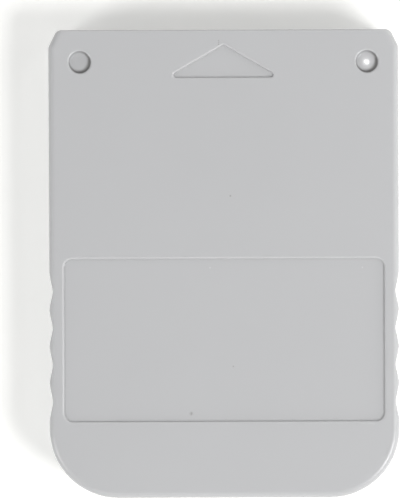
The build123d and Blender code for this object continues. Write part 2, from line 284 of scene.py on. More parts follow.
# %% Shader groups
def shader_group(name, inputs, outputs):
    """A shader group with named inputs and outputs, and its two end nodes."""
    tree = bpy.data.node_groups.new(name, "ShaderNodeTree")
    for label, value in inputs.items():
        socket = tree.interface.new_socket(label, in_out="INPUT", socket_type=SOCKETS[type(value)])
        socket.default_value = value
    for label, kind in outputs.items():
        tree.interface.new_socket(label, in_out="OUTPUT", socket_type=kind)
    return tree, tree.nodes.new("NodeGroupInput"), tree.nodes.new("NodeGroupOutput")


def moulding_grain():
    """Fine pits of a spark-eroded tool, as a height."""
    tree, start, end = shader_group(
        "moulding grain",
        {"Vector": Vector(), "Grains per metre": 9000.0},
        {"Height": "NodeSocketFloat"},
    )
    noise = add_node(
        tree,
        "ShaderNodeTexNoise",
        Vector=start.outputs["Vector"],
        Scale=start.outputs["Grains per metre"],
        Detail=2.0,
        Roughness=0.6,
    )
    tree.links.new(noise.outputs["Fac"], end.inputs["Height"])
    return tree


def tone_drift():
    """A colour that drifts slowly to a second one over a surface."""
    tree, start, end = shader_group(
        "tone drift",
        {"Vector": Vector(), "Patches per metre": 60.0, "First": (1, 1, 1, 1), "Second": (0, 0, 0, 1)},
        {"Color": "NodeSocketColor", "Share": "NodeSocketFloat"},
    )
    noise = add_node(
        tree,
        "ShaderNodeTexNoise",
        Vector=start.outputs["Vector"],
        Scale=start.outputs["Patches per metre"],
        Detail=4.0,
        Roughness=0.55,
    )
    share = add_node(
        tree, "ShaderNodeMapRange", in_0=noise.outputs["Fac"], in_1=0.3, in_2=0.7, in_3=0.0, in_4=1.0
    )
    mix = add_node(
        tree,
        "ShaderNodeMix",
        {"data_type": "RGBA"},
        in_0=share.outputs[0],
        in_6=start.outputs["First"],
        in_7=start.outputs["Second"],
    )
    tree.links.new(mix.outputs[2], end.inputs["Color"])
    tree.links.new(share.outputs[0], end.inputs["Share"])
    return tree


def speck_spot():
    """A mask that is 1 in one small ragged spot."""
    tree, start, end = shader_group(
        "speck",
        {"Vector": Vector(), "Place": Vector(), "Radius": 0.0001, "Softness": 0.5},
        {"Mask": "NodeSocketFloat"},
    )
    ragged = add_node(
        tree, "ShaderNodeTexNoise", Vector=start.outputs["Vector"], Scale=6000.0, Detail=1.0
    )
    away = add_node(
        tree,
        "ShaderNodeVectorMath",
        {"operation": "DISTANCE"},
        in_0=start.outputs["Vector"],
        in_1=start.outputs["Place"],
    )
    reach = calculate(tree, "DIVIDE", away.outputs["Value"], start.outputs["Radius"])
    reach = calculate(tree, "ADD", reach, ragged.outputs["Fac"])
    inner = calculate(tree, "SUBTRACT", 1.5, start.outputs["Softness"])
    mask = add_node(
        tree,
        "ShaderNodeMapRange",
        {"interpolation_type": "SMOOTHSTEP"},
        in_0=reach,
        in_1=inner,
        in_2=1.5,
        in_3=1.0,
        in_4=0.0,
    )
    tree.links.new(mask.outputs[0], end.inputs["Mask"])
    return tree


grain_group = moulding_grain()
drift_group = tone_drift()
speck_group = speck_spot()
print("shader groups:", grain_group.name, drift_group.name, speck_group.name)


# %% Material helpers
def new_material(name):
    """A material with a bare Principled shader, and the pieces' own coordinates."""
    material = bpy.data.materials.new(name)
    material.use_nodes = True
    tree = material.node_tree
    shader = tree.nodes["Principled BSDF"]
    place = tree.nodes.new("ShaderNodeTexCoord").outputs["Object"]
    return material, tree, shader, place


def use_group(tree, group, **inputs):
    """Place a shader group in a material with its own values."""
    return add_node(tree, "ShaderNodeGroup", {"node_tree": group}, **inputs)


def blend_colour(tree, share, first, second):
    """Mix two colours by a share."""
    node = add_node(tree, "ShaderNodeMix", {"data_type": "RGBA"}, in_0=share, in_6=first, in_7=second)
    return node.outputs[2]


def blend_value(tree, share, first, second):
    """Mix two numbers by a share."""
    return add_node(tree, "ShaderNodeMapRange", in_0=share, in_3=first, in_4=second).outputs[0]


def between(tree, value, start, stop):
    """A soft step from 0 where a value is at its start to 1 at its stop."""
    step = add_node(
        tree,
        "ShaderNodeMapRange",
        {"interpolation_type": "SMOOTHSTEP"},
        in_0=value,
        in_1=start,
        in_2=stop,
    )
    return step.outputs[0]


def bump(tree, shader, height, strength, depth):
    """Let a height change the shader's normal."""
    node = add_node(tree, "ShaderNodeBump", Height=height, Strength=strength, Distance=depth)
    tree.links.new(node.outputs["Normal"], shader.inputs["Normal"])


def drift_over(tree, place, patches, first, second):
    """Color and Share of a tone that drifts over a surface, with so many patches to the metre."""
    drift = use_group(
        tree, drift_group, Vector=place, Patches_per_metre=patches, First=first, Second=second
    )
    return drift.outputs


def grain_over(tree, shader, place, grains, strength, depth):
    """A moulding grain on the shader's normal, with so many grains to the metre."""
    grain = use_group(tree, grain_group, Vector=place, Grains_per_metre=grains)
    bump(tree, shader, grain.outputs["Height"], strength, depth)


# %% [markdown]
# ## Case plastic
# The case is pale grey ABS, matt from the tool's grain, a little uneven in tone. The floors of the two
# round dimples are smoother than the rest, so they catch a lamp, and their feet are painted darker as
# shade, most of it at the lower right. A few specks of dirt and two pale nicks lie on the front where the
# photograph shows them. Wear, soil and painted shade follow edges, and a material doesn't know where
# edges are, so the mesh carries two attributes: worn, on rounded edges, which are paler and glossier, and
# soil, at the feet of the recesses, which are darker with soil and painted shade.

# %% Case plastic
case_grey = (0.488, 0.491, 0.499, 1)
case_grey_shade = (0.476, 0.479, 0.487, 1)
dirt = (0.28, 0.275, 0.27, 1)
nick = (0.63, 0.63, 0.64, 1)
# Dark grey painted as shade in the dimples, and as soil and shade at the feet of the recesses.
shade_and_soil_grey = (0.15, 0.145, 0.14, 1)
# Painted shade in the dimples: how dark it is, how far its centre leans so that it is heavier at the lower
# right, and the ring it fills.
dimple_shade_share = 0.8
dimple_shade_lean = 0.14 * mm
dimple_shade_inner = 0.9 * mm
dimple_shade_outer = 1.3 * mm
worn_grey = (0.68, 0.68, 0.68, 1)
worn_share = 0.4
worn_patches = (0.7, 1.0)
# How dark the soil and painted shade at the feet of the recesses are.
soil_and_shade_share = 0.14
case_roughness = (0.28, 0.33)
worn_roughness = 0.24
dimple_roughness = 0.12
grain_strength = 0.25
grain_depth = 0.02 * mm
dimple_x = side_x - 3.8 * mm
dimple_y = nose_y - 3.85 * mm
dimple_radius = 1.35 * mm
dimple_depth = 0.55 * mm
dimple_brink = (0.1 * mm, 0.3 * mm)
below_dimple = 0.15 * mm
recess_depth = 0.3 * mm
tone_patches = 70.0
case_grains = 7000.0
speck_softness = 1.1
face_dirt = [
    ((0.80, 8.15), 0.17),
    ((-0.55, 26.72), 0.12),
    ((-0.55, 26.50), 0.12),
    ((-0.55, 26.28), 0.12),
]
label_dirt = [((1.08, -12.28), 0.15), ((-3.98, -17.92), 0.30)]
label_nicks = [((-1.66, -0.46), 0.14), ((16.60, -0.46), 0.14)]


def spots(tree, place, places, height):
    """One mask for several specks at a height, each at (x, y) with its radius in millimetres."""
    mask = 0.0
    for (x, y), radius in places:
        spot = use_group(
            tree,
            speck_group,
            Vector=place,
            Place=Vector((x * mm, y * mm, height)),
            Radius=radius * mm,
            Softness=speck_softness,
        )
        mask = calculate(tree, "MAXIMUM", mask, spot.outputs["Mask"])
    return mask


def from_dimples(tree, parts, lean):
    """Distance across the front from the nearer dimple's axis, or from a point up and left of it."""
    side = calculate(tree, "ABSOLUTE", calculate(tree, "ADD", parts["X"], lean))
    spread = add_node(tree, "ShaderNodeCombineXYZ", X=side, Y=parts["Y"])
    away = add_node(
        tree,
        "ShaderNodeVectorMath",
        {"operation": "DISTANCE"},
        in_0=spread.outputs[0],
        in_1=(dimple_x, dimple_y + lean, 0.0),
    )
    return away.outputs["Value"]


def case_plastic():
    """Pale grey ABS with a moulding grain, specks, painted shade in the dimples, worn edges, and soil with
    painted shade at the feet of the recesses.
    """
    material, tree, shader, place = new_material("case plastic")
    drift = drift_over(tree, place, tone_patches, case_grey, case_grey_shade)
    label_floor = top - recess_depth
    colour = blend_colour(tree, spots(tree, place, face_dirt, top), drift["Color"], dirt)
    colour = blend_colour(tree, spots(tree, place, label_dirt, label_floor), colour, dirt)
    colour = blend_colour(tree, spots(tree, place, label_nicks, label_floor), colour, nick)

    parts = add_node(tree, "ShaderNodeSeparateXYZ", Vector=place).outputs
    sunk = between(tree, parts["Z"], top - dimple_brink[0], top - dimple_brink[1])
    inside = calculate(tree, "LESS_THAN", from_dimples(tree, parts, 0.0), dimple_radius)
    above = calculate(tree, "GREATER_THAN", parts["Z"], top - dimple_depth - below_dimple)
    hole = calculate(tree, "MULTIPLY", calculate(tree, "MULTIPLY", sunk, inside), above)
    # Painted shade: a ring at the foot of each dimple is darkened, most at the lower right, where the
    # lamps' shade falls.
    foot = between(tree, from_dimples(tree, parts, dimple_shade_lean), dimple_shade_inner, dimple_shade_outer)
    dimple_shade = calculate(tree, "MULTIPLY", calculate(tree, "MULTIPLY", hole, foot), dimple_shade_share)
    colour = blend_colour(tree, dimple_shade, colour, shade_and_soil_grey)

    worn = add_node(tree, "ShaderNodeAttribute", {"attribute_name": "worn"}).outputs["Fac"]
    worn = calculate(tree, "MULTIPLY", worn, blend_value(tree, drift["Share"], *worn_patches))
    colour = blend_colour(tree, calculate(tree, "MULTIPLY", worn, worn_share), colour, worn_grey)
    # Soil and painted shade: the feet of the label recess and the arrow are darkened.
    soil = add_node(tree, "ShaderNodeAttribute", {"attribute_name": "soil"}).outputs["Fac"]
    colour = blend_colour(tree, calculate(tree, "MULTIPLY", soil, soil_and_shade_share), colour, shade_and_soil_grey)
    tree.links.new(colour, shader.inputs["Base Color"])
    rough = blend_value(tree, drift["Share"], *case_roughness)
    rough = blend_value(tree, worn, rough, worn_roughness)
    tree.links.new(blend_value(tree, hole, rough, dimple_roughness), shader.inputs["Roughness"])
    grain_over(tree, shader, place, case_grains, blend_value(tree, hole, grain_strength, 0.0), grain_depth)
    return material


case_finish = case_plastic()
print("made", case_finish.name)

# %% [markdown]
# ## Front half: rim and grip waves
# The front half is the card's face. Its rim could be bevelled from the solid, but the grip waves cut
# through the rim, and a bevel would break up there. So the rim is laid as rings from the flat face
# down to the parting plane, and a node tree then presses one grip hollow after another into both long
# sides. A smooth minimum leaves soft crests and edges, as on the moulding.

# %% Grip hollow tree
grip_count = 4
grip_pitch = 4.42 * mm
grip_depth = 0.52 * mm
grip_first = tail_y + 11.54 * mm
grip_softness = 0.13 * mm
grip_bottom = 1.2 * mm


def grip_hollow_tree():
    """Press one hollow with straight flanks into both long sides."""
    tree, start, end = geometry_tree(
        "grip hollow",
        {"Side": side_x, "Place": 0.0, "Depth": grip_depth, "Pitch": grip_pitch, "Softness": grip_softness},
    )
    given = start.outputs
    position = add_node(tree, "GeometryNodeInputPosition").outputs[0]
    parts = add_node(tree, "ShaderNodeSeparateXYZ", Vector=position).outputs
    flush = add_node(tree, "GeometryNodeInputNamedAttribute", {"data_type": "FLOAT"}, Name="flush")
    offset = calculate(tree, "SUBTRACT", parts["Y"], given["Place"])
    away = calculate(tree, "SMOOTH_MAX", offset, calculate(tree, "MULTIPLY", offset, -1.0), grip_bottom)
    slope = calculate(tree, "DIVIDE", given["Depth"], calculate(tree, "MULTIPLY", given["Pitch"], 0.5))
    cut = calculate(tree, "SUBTRACT", given["Depth"], calculate(tree, "MULTIPLY", away, slope))
    limit = calculate(tree, "SUBTRACT", given["Side"], cut)
    limit = calculate(tree, "SUBTRACT", limit, flush.outputs["Attribute"])
    across = calculate(tree, "ABSOLUTE", parts["X"])
    across = calculate(tree, "SMOOTH_MIN", across, limit, given["Softness"])
    across = calculate(tree, "MULTIPLY", across, calculate(tree, "SIGN", parts["X"]))
    moved = add_node(tree, "ShaderNodeCombineXYZ", X=across, Y=parts["Y"], Z=parts["Z"])
    pressed = add_node(
        tree, "GeometryNodeSetPosition", Geometry=given["Geometry"], Position=moved.outputs[0]
    )
    close_tree(tree, end, pressed.outputs[0], given["Finish"])
    return tree


hollow_tree = grip_hollow_tree()

# %% Rim rings
rim_radius = 0.8 * mm
nose_rim = 0.2 * mm
rim_wear = 0.6
parting_bevel = 0.12 * mm
face_margin = 0.25 * mm
rim_steps = 10
arc_steps = 16
side_cuts = 200
nose_in = 1.0 * mm
nose_back = 2.0 * mm
nose_blend = 1.2 * mm
nose_corner = 0.9 * mm
tail_radius = 8.3 * mm
NOSE, SIDE = 0, 1
outline = [
    Corner(side_x - nose_in, nose_y, nose_corner, 12, NOSE),
    Corner(nose_in - side_x, nose_y, nose_corner, 1, SIDE),
    Corner(-side_x, nose_y - nose_back, nose_blend, side_cuts, SIDE),
    Corner(-side_x, tail_y, tail_radius, 12, SIDE),
    Corner(side_x, tail_y, tail_radius, side_cuts, SIDE),
    Corner(side_x, nose_y - nose_back, nose_blend, 1, SIDE),
]


def mark(bm, loop, layer, value):
    """Write a value on all points of a loop."""
    for vert in loop:
        vert[bm.verts.layers.float[layer]] = value
    return loop


def outline_ring(bm, nose, side):
    """One ring of the case, with (inset, height) along the nose and along the sides."""
    points = []
    for x, y, share in rounded_loop(outline, (nose[0], side[0]), arc_steps):
        points.append((x, y, nose[1] + (side[1] - nose[1]) * share))
    return ring(bm, points)


def front_rim():
    """Rings from the flat face over the worn rim to the parting plane, with the grips pressed in."""
    bm = bmesh.new()
    for layer in ("flush", "worn"):
        bm.verts.layers.float.new(layer)
    rings = [outline_ring(bm, (nose_rim + face_margin, top), (rim_radius + face_margin, top))]
    for step in range(rim_steps + 1):
        angle = math.radians(90) * step / rim_steps
        inset = 1 - math.sin(angle)
        drop = 1 - math.cos(angle)
        nose = (nose_rim * inset, top - nose_rim * drop)
        side = (rim_radius * inset, top - rim_radius * drop)
        rings.append(mark(bm, outline_ring(bm, nose, side), "worn", rim_wear * math.sin(2 * angle)))
    foot = (0.0, parting + parting_bevel)
    rings.append(outline_ring(bm, foot, foot))
    seam = (parting_bevel, parting)
    rings.append(mark(bm, outline_ring(bm, seam, seam), "flush", parting_bevel))
    for first, second in zip(rings, rings[1:]):
        bridge(bm, first, second)
    piece = new_piece("front_rim", mesh_of(bm, "front_rim"))
    for number in range(grip_count):
        run_tree(piece, hollow_tree, place=grip_first + number * grip_pitch, finish=case_finish)
    return piece


rim_piece = front_rim()
print("front rim:", len(rim_piece.data.polygons), "faces")

# %% [markdown]
# ## Front half: label recess, arrow and dimples
# Each sunk shape is a stack of loops too: a rounded top edge, a short wall and a small fillet into the
# floor. Each loop also says how worn it is, and how much soil and painted shade it carries. The
# outermost loops are holes in the flat face, which one fill closes.

# %% Sunk shapes
edge_steps = 4
label_corner = 1.05 * mm
label_x = side_x - 1.8 * mm
label_low = tail_y + 9.2 * mm
label_high = label_low + 19.5 * mm
label_loop = [
    Corner(label_x, label_high, label_corner),
    Corner(-label_x, label_high, label_corner),
    Corner(-label_x, label_low, label_corner),
    Corner(label_x, label_low, label_corner),
]
arrow_base = nose_y - 5.7 * mm
arrow_half = 6.8 * mm
arrow_tip = arrow_base + 3.93 * mm
arrow_corner = 0.3 * mm
arrow_loop = [
    Corner(arrow_half, arrow_base, arrow_corner),
    Corner(0.0, arrow_tip, arrow_corner),
    Corner(-arrow_half, arrow_base, arrow_corner),
]
recess_mouth = 0.2 * mm
recess_foot = 0.08 * mm
# How far the soil and painted shade reach onto the recess floor.
soil_and_shade_reach = 0.2 * mm
dimple_mouth = 0.16 * mm
dimple_draft = 0.20 * mm
dimple_foot = 0.10 * mm
dimple_dish = 20.0 * mm
dimple_points = 48
dish_shares = (0.8, 0.6, 0.4, 0.2)
Step = namedtuple("Step", "inset height worn soil", defaults=(0.0, 0.0))


def sunk_section(mouth, depth, foot, draft=0.0):
    """Steps down a sunk edge: worn rounded mouth, drafted wall, and a fillet into the floor that carries
    soil and painted shade.
    """
    steps = [Step(-mouth - face_margin / 2, top)]
    for step in range(edge_steps + 1):
        angle = math.radians(90) * step / edge_steps
        inset = -mouth * (1 - math.sin(angle))
        steps.append(Step(inset, top - mouth * (1 - math.cos(angle)), worn=math.sin(2 * angle)))
    for step in range(edge_steps + 1):
        angle = math.radians(90) * step / edge_steps
        inset = draft + foot * (1 - math.cos(angle))
        steps.append(Step(inset, top - depth + foot * (1 - math.sin(angle)), soil=1.0))
    return steps


def stack(bm, rings):
    """Join a list of loops, and hand back the first and the last."""
    for first, second in zip(rings, rings[1:]):
        bridge(bm, first, second)
    return rings[0], rings[-1]


def sunk_shape(bm, corners):
    """A recess with a flat floor. Hands back its outermost loop."""
    rings = []
    floor = Step(recess_foot + soil_and_shade_reach, top - recess_depth)
    for step in sunk_section(recess_mouth, recess_depth, recess_foot) + [floor]:
        points = rounded_loop(corners, (step.inset, step.inset), arc_steps)
        loop = ring(bm, [(x, y, step.height) for x, y, share in points])
        mark(bm, loop, "worn", step.worn)
        rings.append(mark(bm, loop, "soil", step.soil))
    outer, inner = stack(bm, rings)
    bm.faces.new(inner)
    return outer


def sunk_dimple(bm, x):
    """A round dimple with a slightly dished floor. Hands back its outermost loop."""
    steps = sunk_section(dimple_mouth, dimple_depth, dimple_foot, dimple_draft)
    flat = dimple_radius - steps[-1].inset
    for share in dish_shares:
        radius = flat * share
        height = top - dimple_depth - (flat**2 - radius**2) / (2 * dimple_dish)
        steps.append(Step(dimple_radius - radius, height))
    rings = []
    for step in steps:
        points = circle(x, dimple_y, dimple_radius - step.inset, step.height, dimple_points)
        rings.append(mark(bm, ring(bm, points), "worn", step.worn))
    outer, inner = stack(bm, rings)
    centre = bm.verts.new((x, dimple_y, top - dimple_depth - flat**2 / (2 * dimple_dish)))
    for index in range(dimple_points):
        bm.faces.new((inner[index - 1], inner[index], centre))
    return outer


# %% [markdown]
# ## Front half: inside
# Nothing of the inside shows, but the piece stands for the whole solid, so it keeps the solid's ribs,
# posts and boss. A copy of the solid is merged, its parting face is taken out, and the part of it that
# then hangs together with the face is the old outside, which goes. The fine skin and the old inside
# are closed by a fill in the parting plane.


# %% Front half
def inside_of(node):
    """The inner walls of a shell: what is left once its parting face and its outside are taken off."""
    bm = solid_copy(node)
    seam = [f for f in bm.faces if all(abs(v.co.z - parting) < plane_tolerance for v in f.verts)]
    bmesh.ops.delete(bm, geom=seam, context="FACES_ONLY")
    outside = {max(bm.verts, key=lambda vert: vert.co.z)}
    front = list(outside)
    while front:
        vert = front.pop()
        for edge in vert.link_edges:
            other = edge.other_vert(vert)
            if edge.link_faces and other not in outside:
                outside.add(other)
                front.append(other)
    bmesh.ops.delete(bm, geom=list(outside), context="VERTS")
    loose = [e for e in bm.edges if not e.link_faces]
    bmesh.ops.delete(bm, geom=loose, context="EDGES")
    return mesh_of(bm, node + "_inside")


def fill_flat(bm, edges, normal):
    """Close the flat area between loops, in millimetres, so that the fill's own limits stay small."""
    bmesh.ops.scale(bm, vec=Vector((1, 1, 1)) / mm, verts=bm.verts)
    bmesh.ops.triangle_fill(bm, edges=edges, use_beauty=True, normal=normal)
    bmesh.ops.scale(bm, vec=Vector((1, 1, 1)) * mm, verts=bm.verts)


def front_half():
    """The front half of the case, with its fine skin and the solid's own inside."""
    bm = bmesh.new()
    bm.from_mesh(rim_piece.data)
    # The layer for soil and painted shade at the feet of the recesses.
    bm.verts.layers.float.new("soil")
    bmesh.ops.remove_doubles(bm, verts=bm.verts, dist=merge_distance)
    face_edges = [e for e in bm.edges if e.is_boundary and e.verts[0].co.z > top - plane_tolerance]
    holes = [
        sunk_shape(bm, label_loop),
        sunk_shape(bm, arrow_loop),
        sunk_dimple(bm, -dimple_x),
        sunk_dimple(bm, dimple_x),
    ]
    for hole in holes:
        face_edges += loop_edges(bm, hole)
    fill_flat(bm, face_edges, (0, 0, 1))
    bm.from_mesh(inside_of("front_shell"))
    fill_flat(bm, [e for e in bm.edges if e.is_boundary], (0, 0, -1))
    bmesh.ops.remove_doubles(bm, verts=bm.verts, dist=cut_tolerance)
    bmesh.ops.recalc_face_normals(bm, faces=bm.faces)
    print("front half, edges left open:", sum(not e.is_manifold for e in bm.edges))
    return mesh_of(bm, "front_half")


front_piece = new_piece("front_half", front_half())
front_piece.data.materials.clear()
front_piece.data.materials.append(case_finish)
even_normals(front_piece, 50)
bpy.data.objects.remove(rim_piece)
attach(front_piece, "root")
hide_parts("front_shell")

# %% [markdown]
# ## Back half
# The back half is mostly flat, and its bevels are in the solid already. A merged copy with even
# normals is enough: flat faces stay flat, and the bevels between them read as soft edges.


# %% Back half
def merged_copy(node, name, sharp_angle):
    """A copy of a solid's mesh, merged and evenly shaded, which stands for it."""
    bm = solid_copy(node)
    bmesh.ops.dissolve_limit(bm, angle_limit=math.radians(0.2), verts=bm.verts, edges=bm.edges)
    piece = new_piece(name, mesh_of(bm, name))
    even_normals(piece, sharp_angle)
    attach(piece, "root")
    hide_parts(node)
    return piece


back_piece = merged_copy("back_shell", "back_half", 50)
back_piece.data.materials.clear()
back_piece.data.materials.append(case_finish)
print("back half:", len(back_piece.data.polygons), "faces")

# %% [markdown]
# ## Inside: finishes
# Nothing inside shows from the front, but the card opens with one screw, so the inside is finished too.
# Metals share one recipe: a tone and a gloss that drift over the surface, with a fine grain. The small
# parts carry plated ends on a body of another stuff, so their meshes hold an attribute that says how
# much of a point is plated, and one material reads it.

# %% Inner finishes
tin = (0.66, 0.66, 0.65, 1)
tin_shade = (0.50, 0.50, 0.50, 1)
steel = (0.60, 0.60, 0.61, 1)
steel_shade = (0.46, 0.46, 0.47, 1)
gold = (0.86, 0.62, 0.27, 1)
gold_shade = (0.72, 0.50, 0.20, 1)
nickel = (0.60, 0.56, 0.48, 1)
epoxy = (0.016, 0.016, 0.018, 1)
epoxy_shade = (0.026, 0.026, 0.028, 1)
fine_depth = 0.01 * mm


def metal(name, first, second, bright, dull, patches):
    """A bare metal whose tone and gloss drift over the surface."""
    material, tree, shader, place = new_material(name)
    drift = drift_over(tree, place, patches, first, second)
    tree.links.new(drift["Color"], shader.inputs["Base Color"])
    tree.links.new(blend_value(tree, drift["Share"], bright, dull), shader.inputs["Roughness"])
    shader.inputs["Metallic"].default_value = 1.0
    grain_over(tree, shader, place, 20000.0, 0.15, fine_depth)
    return material


def worn_gold():
    """Gold over nickel, worn through in streaks along the way the card is pushed in."""
    material, tree, shader, place = new_material("contact gold")
    drift = drift_over(tree, place, 400.0, gold, gold_shade)
    drawn = add_node(tree, "ShaderNodeMapping", Vector=place, Scale=(5000.0, 120.0, 120.0))
    streaks = add_node(tree, "ShaderNodeTexNoise", Vector=drawn.outputs[0], Scale=1.0, Detail=3.0)
    worn = add_node(tree, "ShaderNodeMapRange", in_0=streaks.outputs["Fac"], in_1=0.52, in_2=0.75)
    colour = blend_colour(tree, worn.outputs[0], drift["Color"], nickel)
    tree.links.new(colour, shader.inputs["Base Color"])
    tree.links.new(blend_value(tree, worn.outputs[0], 0.22, 0.42), shader.inputs["Roughness"])
    shader.inputs["Metallic"].default_value = 1.0
    bump(tree, shader, streaks.outputs["Fac"], 0.2, fine_depth)
    return material


def moulded_epoxy():
    """Black moulding compound, matt from its mould."""
    material, tree, shader, place = new_material("chip epoxy")
    drift = drift_over(tree, place, 300.0, epoxy, epoxy_shade)
    tree.links.new(drift["Color"], shader.inputs["Base Color"])
    tree.links.new(blend_value(tree, drift["Share"], 0.45, 0.6), shader.inputs["Roughness"])
    grain_over(tree, shader, place, 16000.0, 0.3, fine_depth)
    return material


def plated_part(name, first, second, matt):
    """The body of a small part, with tinned ends where its mesh is plated."""
    material, tree, shader, place = new_material(name)
    plated = add_node(tree, "ShaderNodeAttribute", {"attribute_name": "plated"}).outputs["Fac"]
    drift = drift_over(tree, place, 900.0, first, second)
    tree.links.new(blend_colour(tree, plated, drift["Color"], tin), shader.inputs["Base Color"])
    tree.links.new(plated, shader.inputs["Metallic"])
    tree.links.new(blend_value(tree, plated, matt, 0.38), shader.inputs["Roughness"])
    grain_over(tree, shader, place, 18000.0, 0.25, fine_depth)
    return material


tin_finish = metal("tinned leads", tin, tin_shade, 0.32, 0.5, 900.0)
steel_finish = metal("screw steel", steel, steel_shade, 0.25, 0.42, 700.0)
gold_finish = worn_gold()
epoxy_finish = moulded_epoxy()
capacitor_finish = plated_part("capacitor ceramic", (0.36, 0.25, 0.15, 1), (0.28, 0.19, 0.11, 1), 0.5)
resistor_finish = plated_part("resistor ceramic", (0.02, 0.02, 0.022, 1), (0.035, 0.035, 0.04, 1), 0.4)
resonator_finish = plated_part("resonator ceramic", (0.70, 0.66, 0.58, 1), (0.62, 0.58, 0.50, 1), 0.55)
tantalum_finish = plated_part("tantalum resin", (0.72, 0.42, 0.07, 1), (0.64, 0.36, 0.05, 1), 0.45)
print("inner finishes, from", tin_finish.name, "to", tantalum_finish.name)


# %% Joining and dressing
def joined(name, pieces):
    """Make one piece of several, and take the several away."""
    bm = bmesh.new()
    for piece in pieces:
        bm.from_mesh(piece.data)
        bpy.data.objects.remove(piece)
    return new_piece(name, mesh_of(bm, name))


def dress(piece, finish, slot_name, *nodes):
    """Give a piece its finish, let it ride on the card, and let it stand for its solids. slot_name is not
    used.
    """
    piece.data.materials.clear()
    piece.data.materials.append(finish)
    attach(piece, "root")
    if nodes:
        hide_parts(*nodes)
    return piece


def path_mesh(name, *paths):
    """A mesh of bare edges along one or more paths."""
    bm = bmesh.new()
    for path in paths:
        verts = [bm.verts.new(point) for point in path]
        for first, second in zip(verts, verts[1:]):
            bm.edges.new((first, second))
    return mesh_of(bm, name)


# %% [markdown]
# ## Inside: circuit board
# The board is a slab of green laminate, and its solid has the right shape, so it only gets a finish.
# The cut edges show the bare glass fibre, which the surface normal tells apart from the two faces.

# %% Board laminate
mask_green = (0.010, 0.105, 0.036, 1)
mask_green_shade = (0.014, 0.135, 0.048, 1)
bare_fibre = (0.42, 0.36, 0.17, 1)
weave_scale = 80.0


def board_laminate():
    """Green solder mask over woven glass, with bare fibre at the cut edges."""
    material, tree, shader, place = new_material("board laminate")
    drift = drift_over(tree, place, 120.0, mask_green, mask_green_shade)
    normal = tree.nodes.new("ShaderNodeNewGeometry").outputs["Normal"]
    upright = add_node(tree, "ShaderNodeSeparateXYZ", Vector=normal).outputs["Z"]
    face = calculate(tree, "GREATER_THAN", calculate(tree, "ABSOLUTE", upright), 0.5)
    colour = blend_colour(tree, face, bare_fibre, drift["Color"])
    tree.links.new(colour, shader.inputs["Base Color"])
    tree.links.new(blend_value(tree, face, 0.8, 0.28), shader.inputs["Roughness"])
    threads = []
    for direction in ("X", "Y"):
        wave = add_node(
            tree,
            "ShaderNodeTexWave",
            {"bands_direction": direction},
            Vector=place,
            Scale=weave_scale,
            Distortion=0.4,
        )
        threads.append(wave.outputs["Fac"])
    bump(tree, shader, calculate(tree, "MULTIPLY", *threads), 0.2, fine_depth)
    return material


board_finish = board_laminate()
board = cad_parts["circuit_board"]
board.data.materials.clear()
board.data.materials.append(board_finish)
print("board laminate on", board.name)

# %% [markdown]
# ## Inside: tracks and vias
# Copper tracks run from the contacts to the small parts and chips, and end in vias. They follow paths,
# so one node tree rounds each path's corners, sweeps a flat strip along it and sets an eyelet on its
# end. The paths themselves come from the boxes of the pieces that they join.

# %% Track tree
track_height = 0.03 * mm


def track_tree():
    """Sweep a flat strip along paths and set an eyelet on the end of each."""
    tree, start, end = geometry_tree(
        "tracks", {"Width": 0.25 * mm, "Height": track_height, "Corner": 0.5 * mm, "Eyelet": 0.24 * mm}
    )
    given = start.outputs
    path = add_node(tree, "GeometryNodeMeshToCurve", Mesh=given["Geometry"]).outputs[0]
    soft = add_node(
        tree,
        "GeometryNodeFilletCurve",
        {"mode": "POLY"},
        Curve=path,
        Count=5,
        Radius=given["Corner"],
        Limit_Radius=True,
    )
    strip = add_node(
        tree,
        "GeometryNodeCurvePrimitiveQuadrilateral",
        {"mode": "RECTANGLE"},
        Width=given["Width"],
        Height=given["Height"],
    )
    tracks = add_node(
        tree,
        "GeometryNodeCurveToMesh",
        Curve=soft.outputs[0],
        Profile_Curve=strip.outputs[0],
        Fill_Caps=True,
    )
    loop = add_node(
        tree, "GeometryNodeCurvePrimitiveCircle", {"mode": "RADIUS"}, Resolution=20, Radius=given["Eyelet"]
    )
    wire = add_node(
        tree,
        "GeometryNodeCurvePrimitiveCircle",
        {"mode": "RADIUS"},
        Resolution=6,
        Radius=calculate(tree, "MULTIPLY", given["Eyelet"], 0.4),
    )
    eyelet = add_node(
        tree, "GeometryNodeCurveToMesh", Curve=loop.outputs[0], Profile_Curve=wire.outputs[0]
    )
    flat = add_node(tree, "GeometryNodeTransform", Geometry=eyelet.outputs[0], Scale=(1.0, 1.0, 0.4))
    ends = add_node(tree, "GeometryNodeCurveEndpointSelection", Start_Size=0, End_Size=1)
    vias = add_node(
        tree,
        "GeometryNodeInstanceOnPoints",
        Points=path,
        Selection=ends.outputs[0],
        Instance=flat.outputs[0],
    )
    both = tree.nodes.new("GeometryNodeJoinGeometry")
    tree.links.new(tracks.outputs[0], both.inputs[0])
    tree.links.new(vias.outputs[0], both.inputs[0])
    close_tree(tree, end, both.outputs[0], given["Finish"])
    return tree


# %% Track paths
track_z = parting - track_height / 2
finger_count = 8
resistor_count = 5
controller_low, controller_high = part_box("controller_chip_leads")
memory_low, memory_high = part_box("memory_chip_leads")
finger_boxes = [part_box(f"contact_finger_{number + 1}") for number in range(finger_count)]
resistor_boxes = [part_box(f"chip_resistor_{number + 1}") for number in range(resistor_count)]
controller_pitch = 0.8 * mm
controller_leads = 11
controller_stubs = 5
memory_pitch = 0.47 * mm
memory_leads = 16
memory_stubs = 8
resistor_leads = (-2, 1, 3, 4, 5)


def track(*points):
    """A path on the board's contact side."""
    return [(x, y, track_z) for x, y in points]


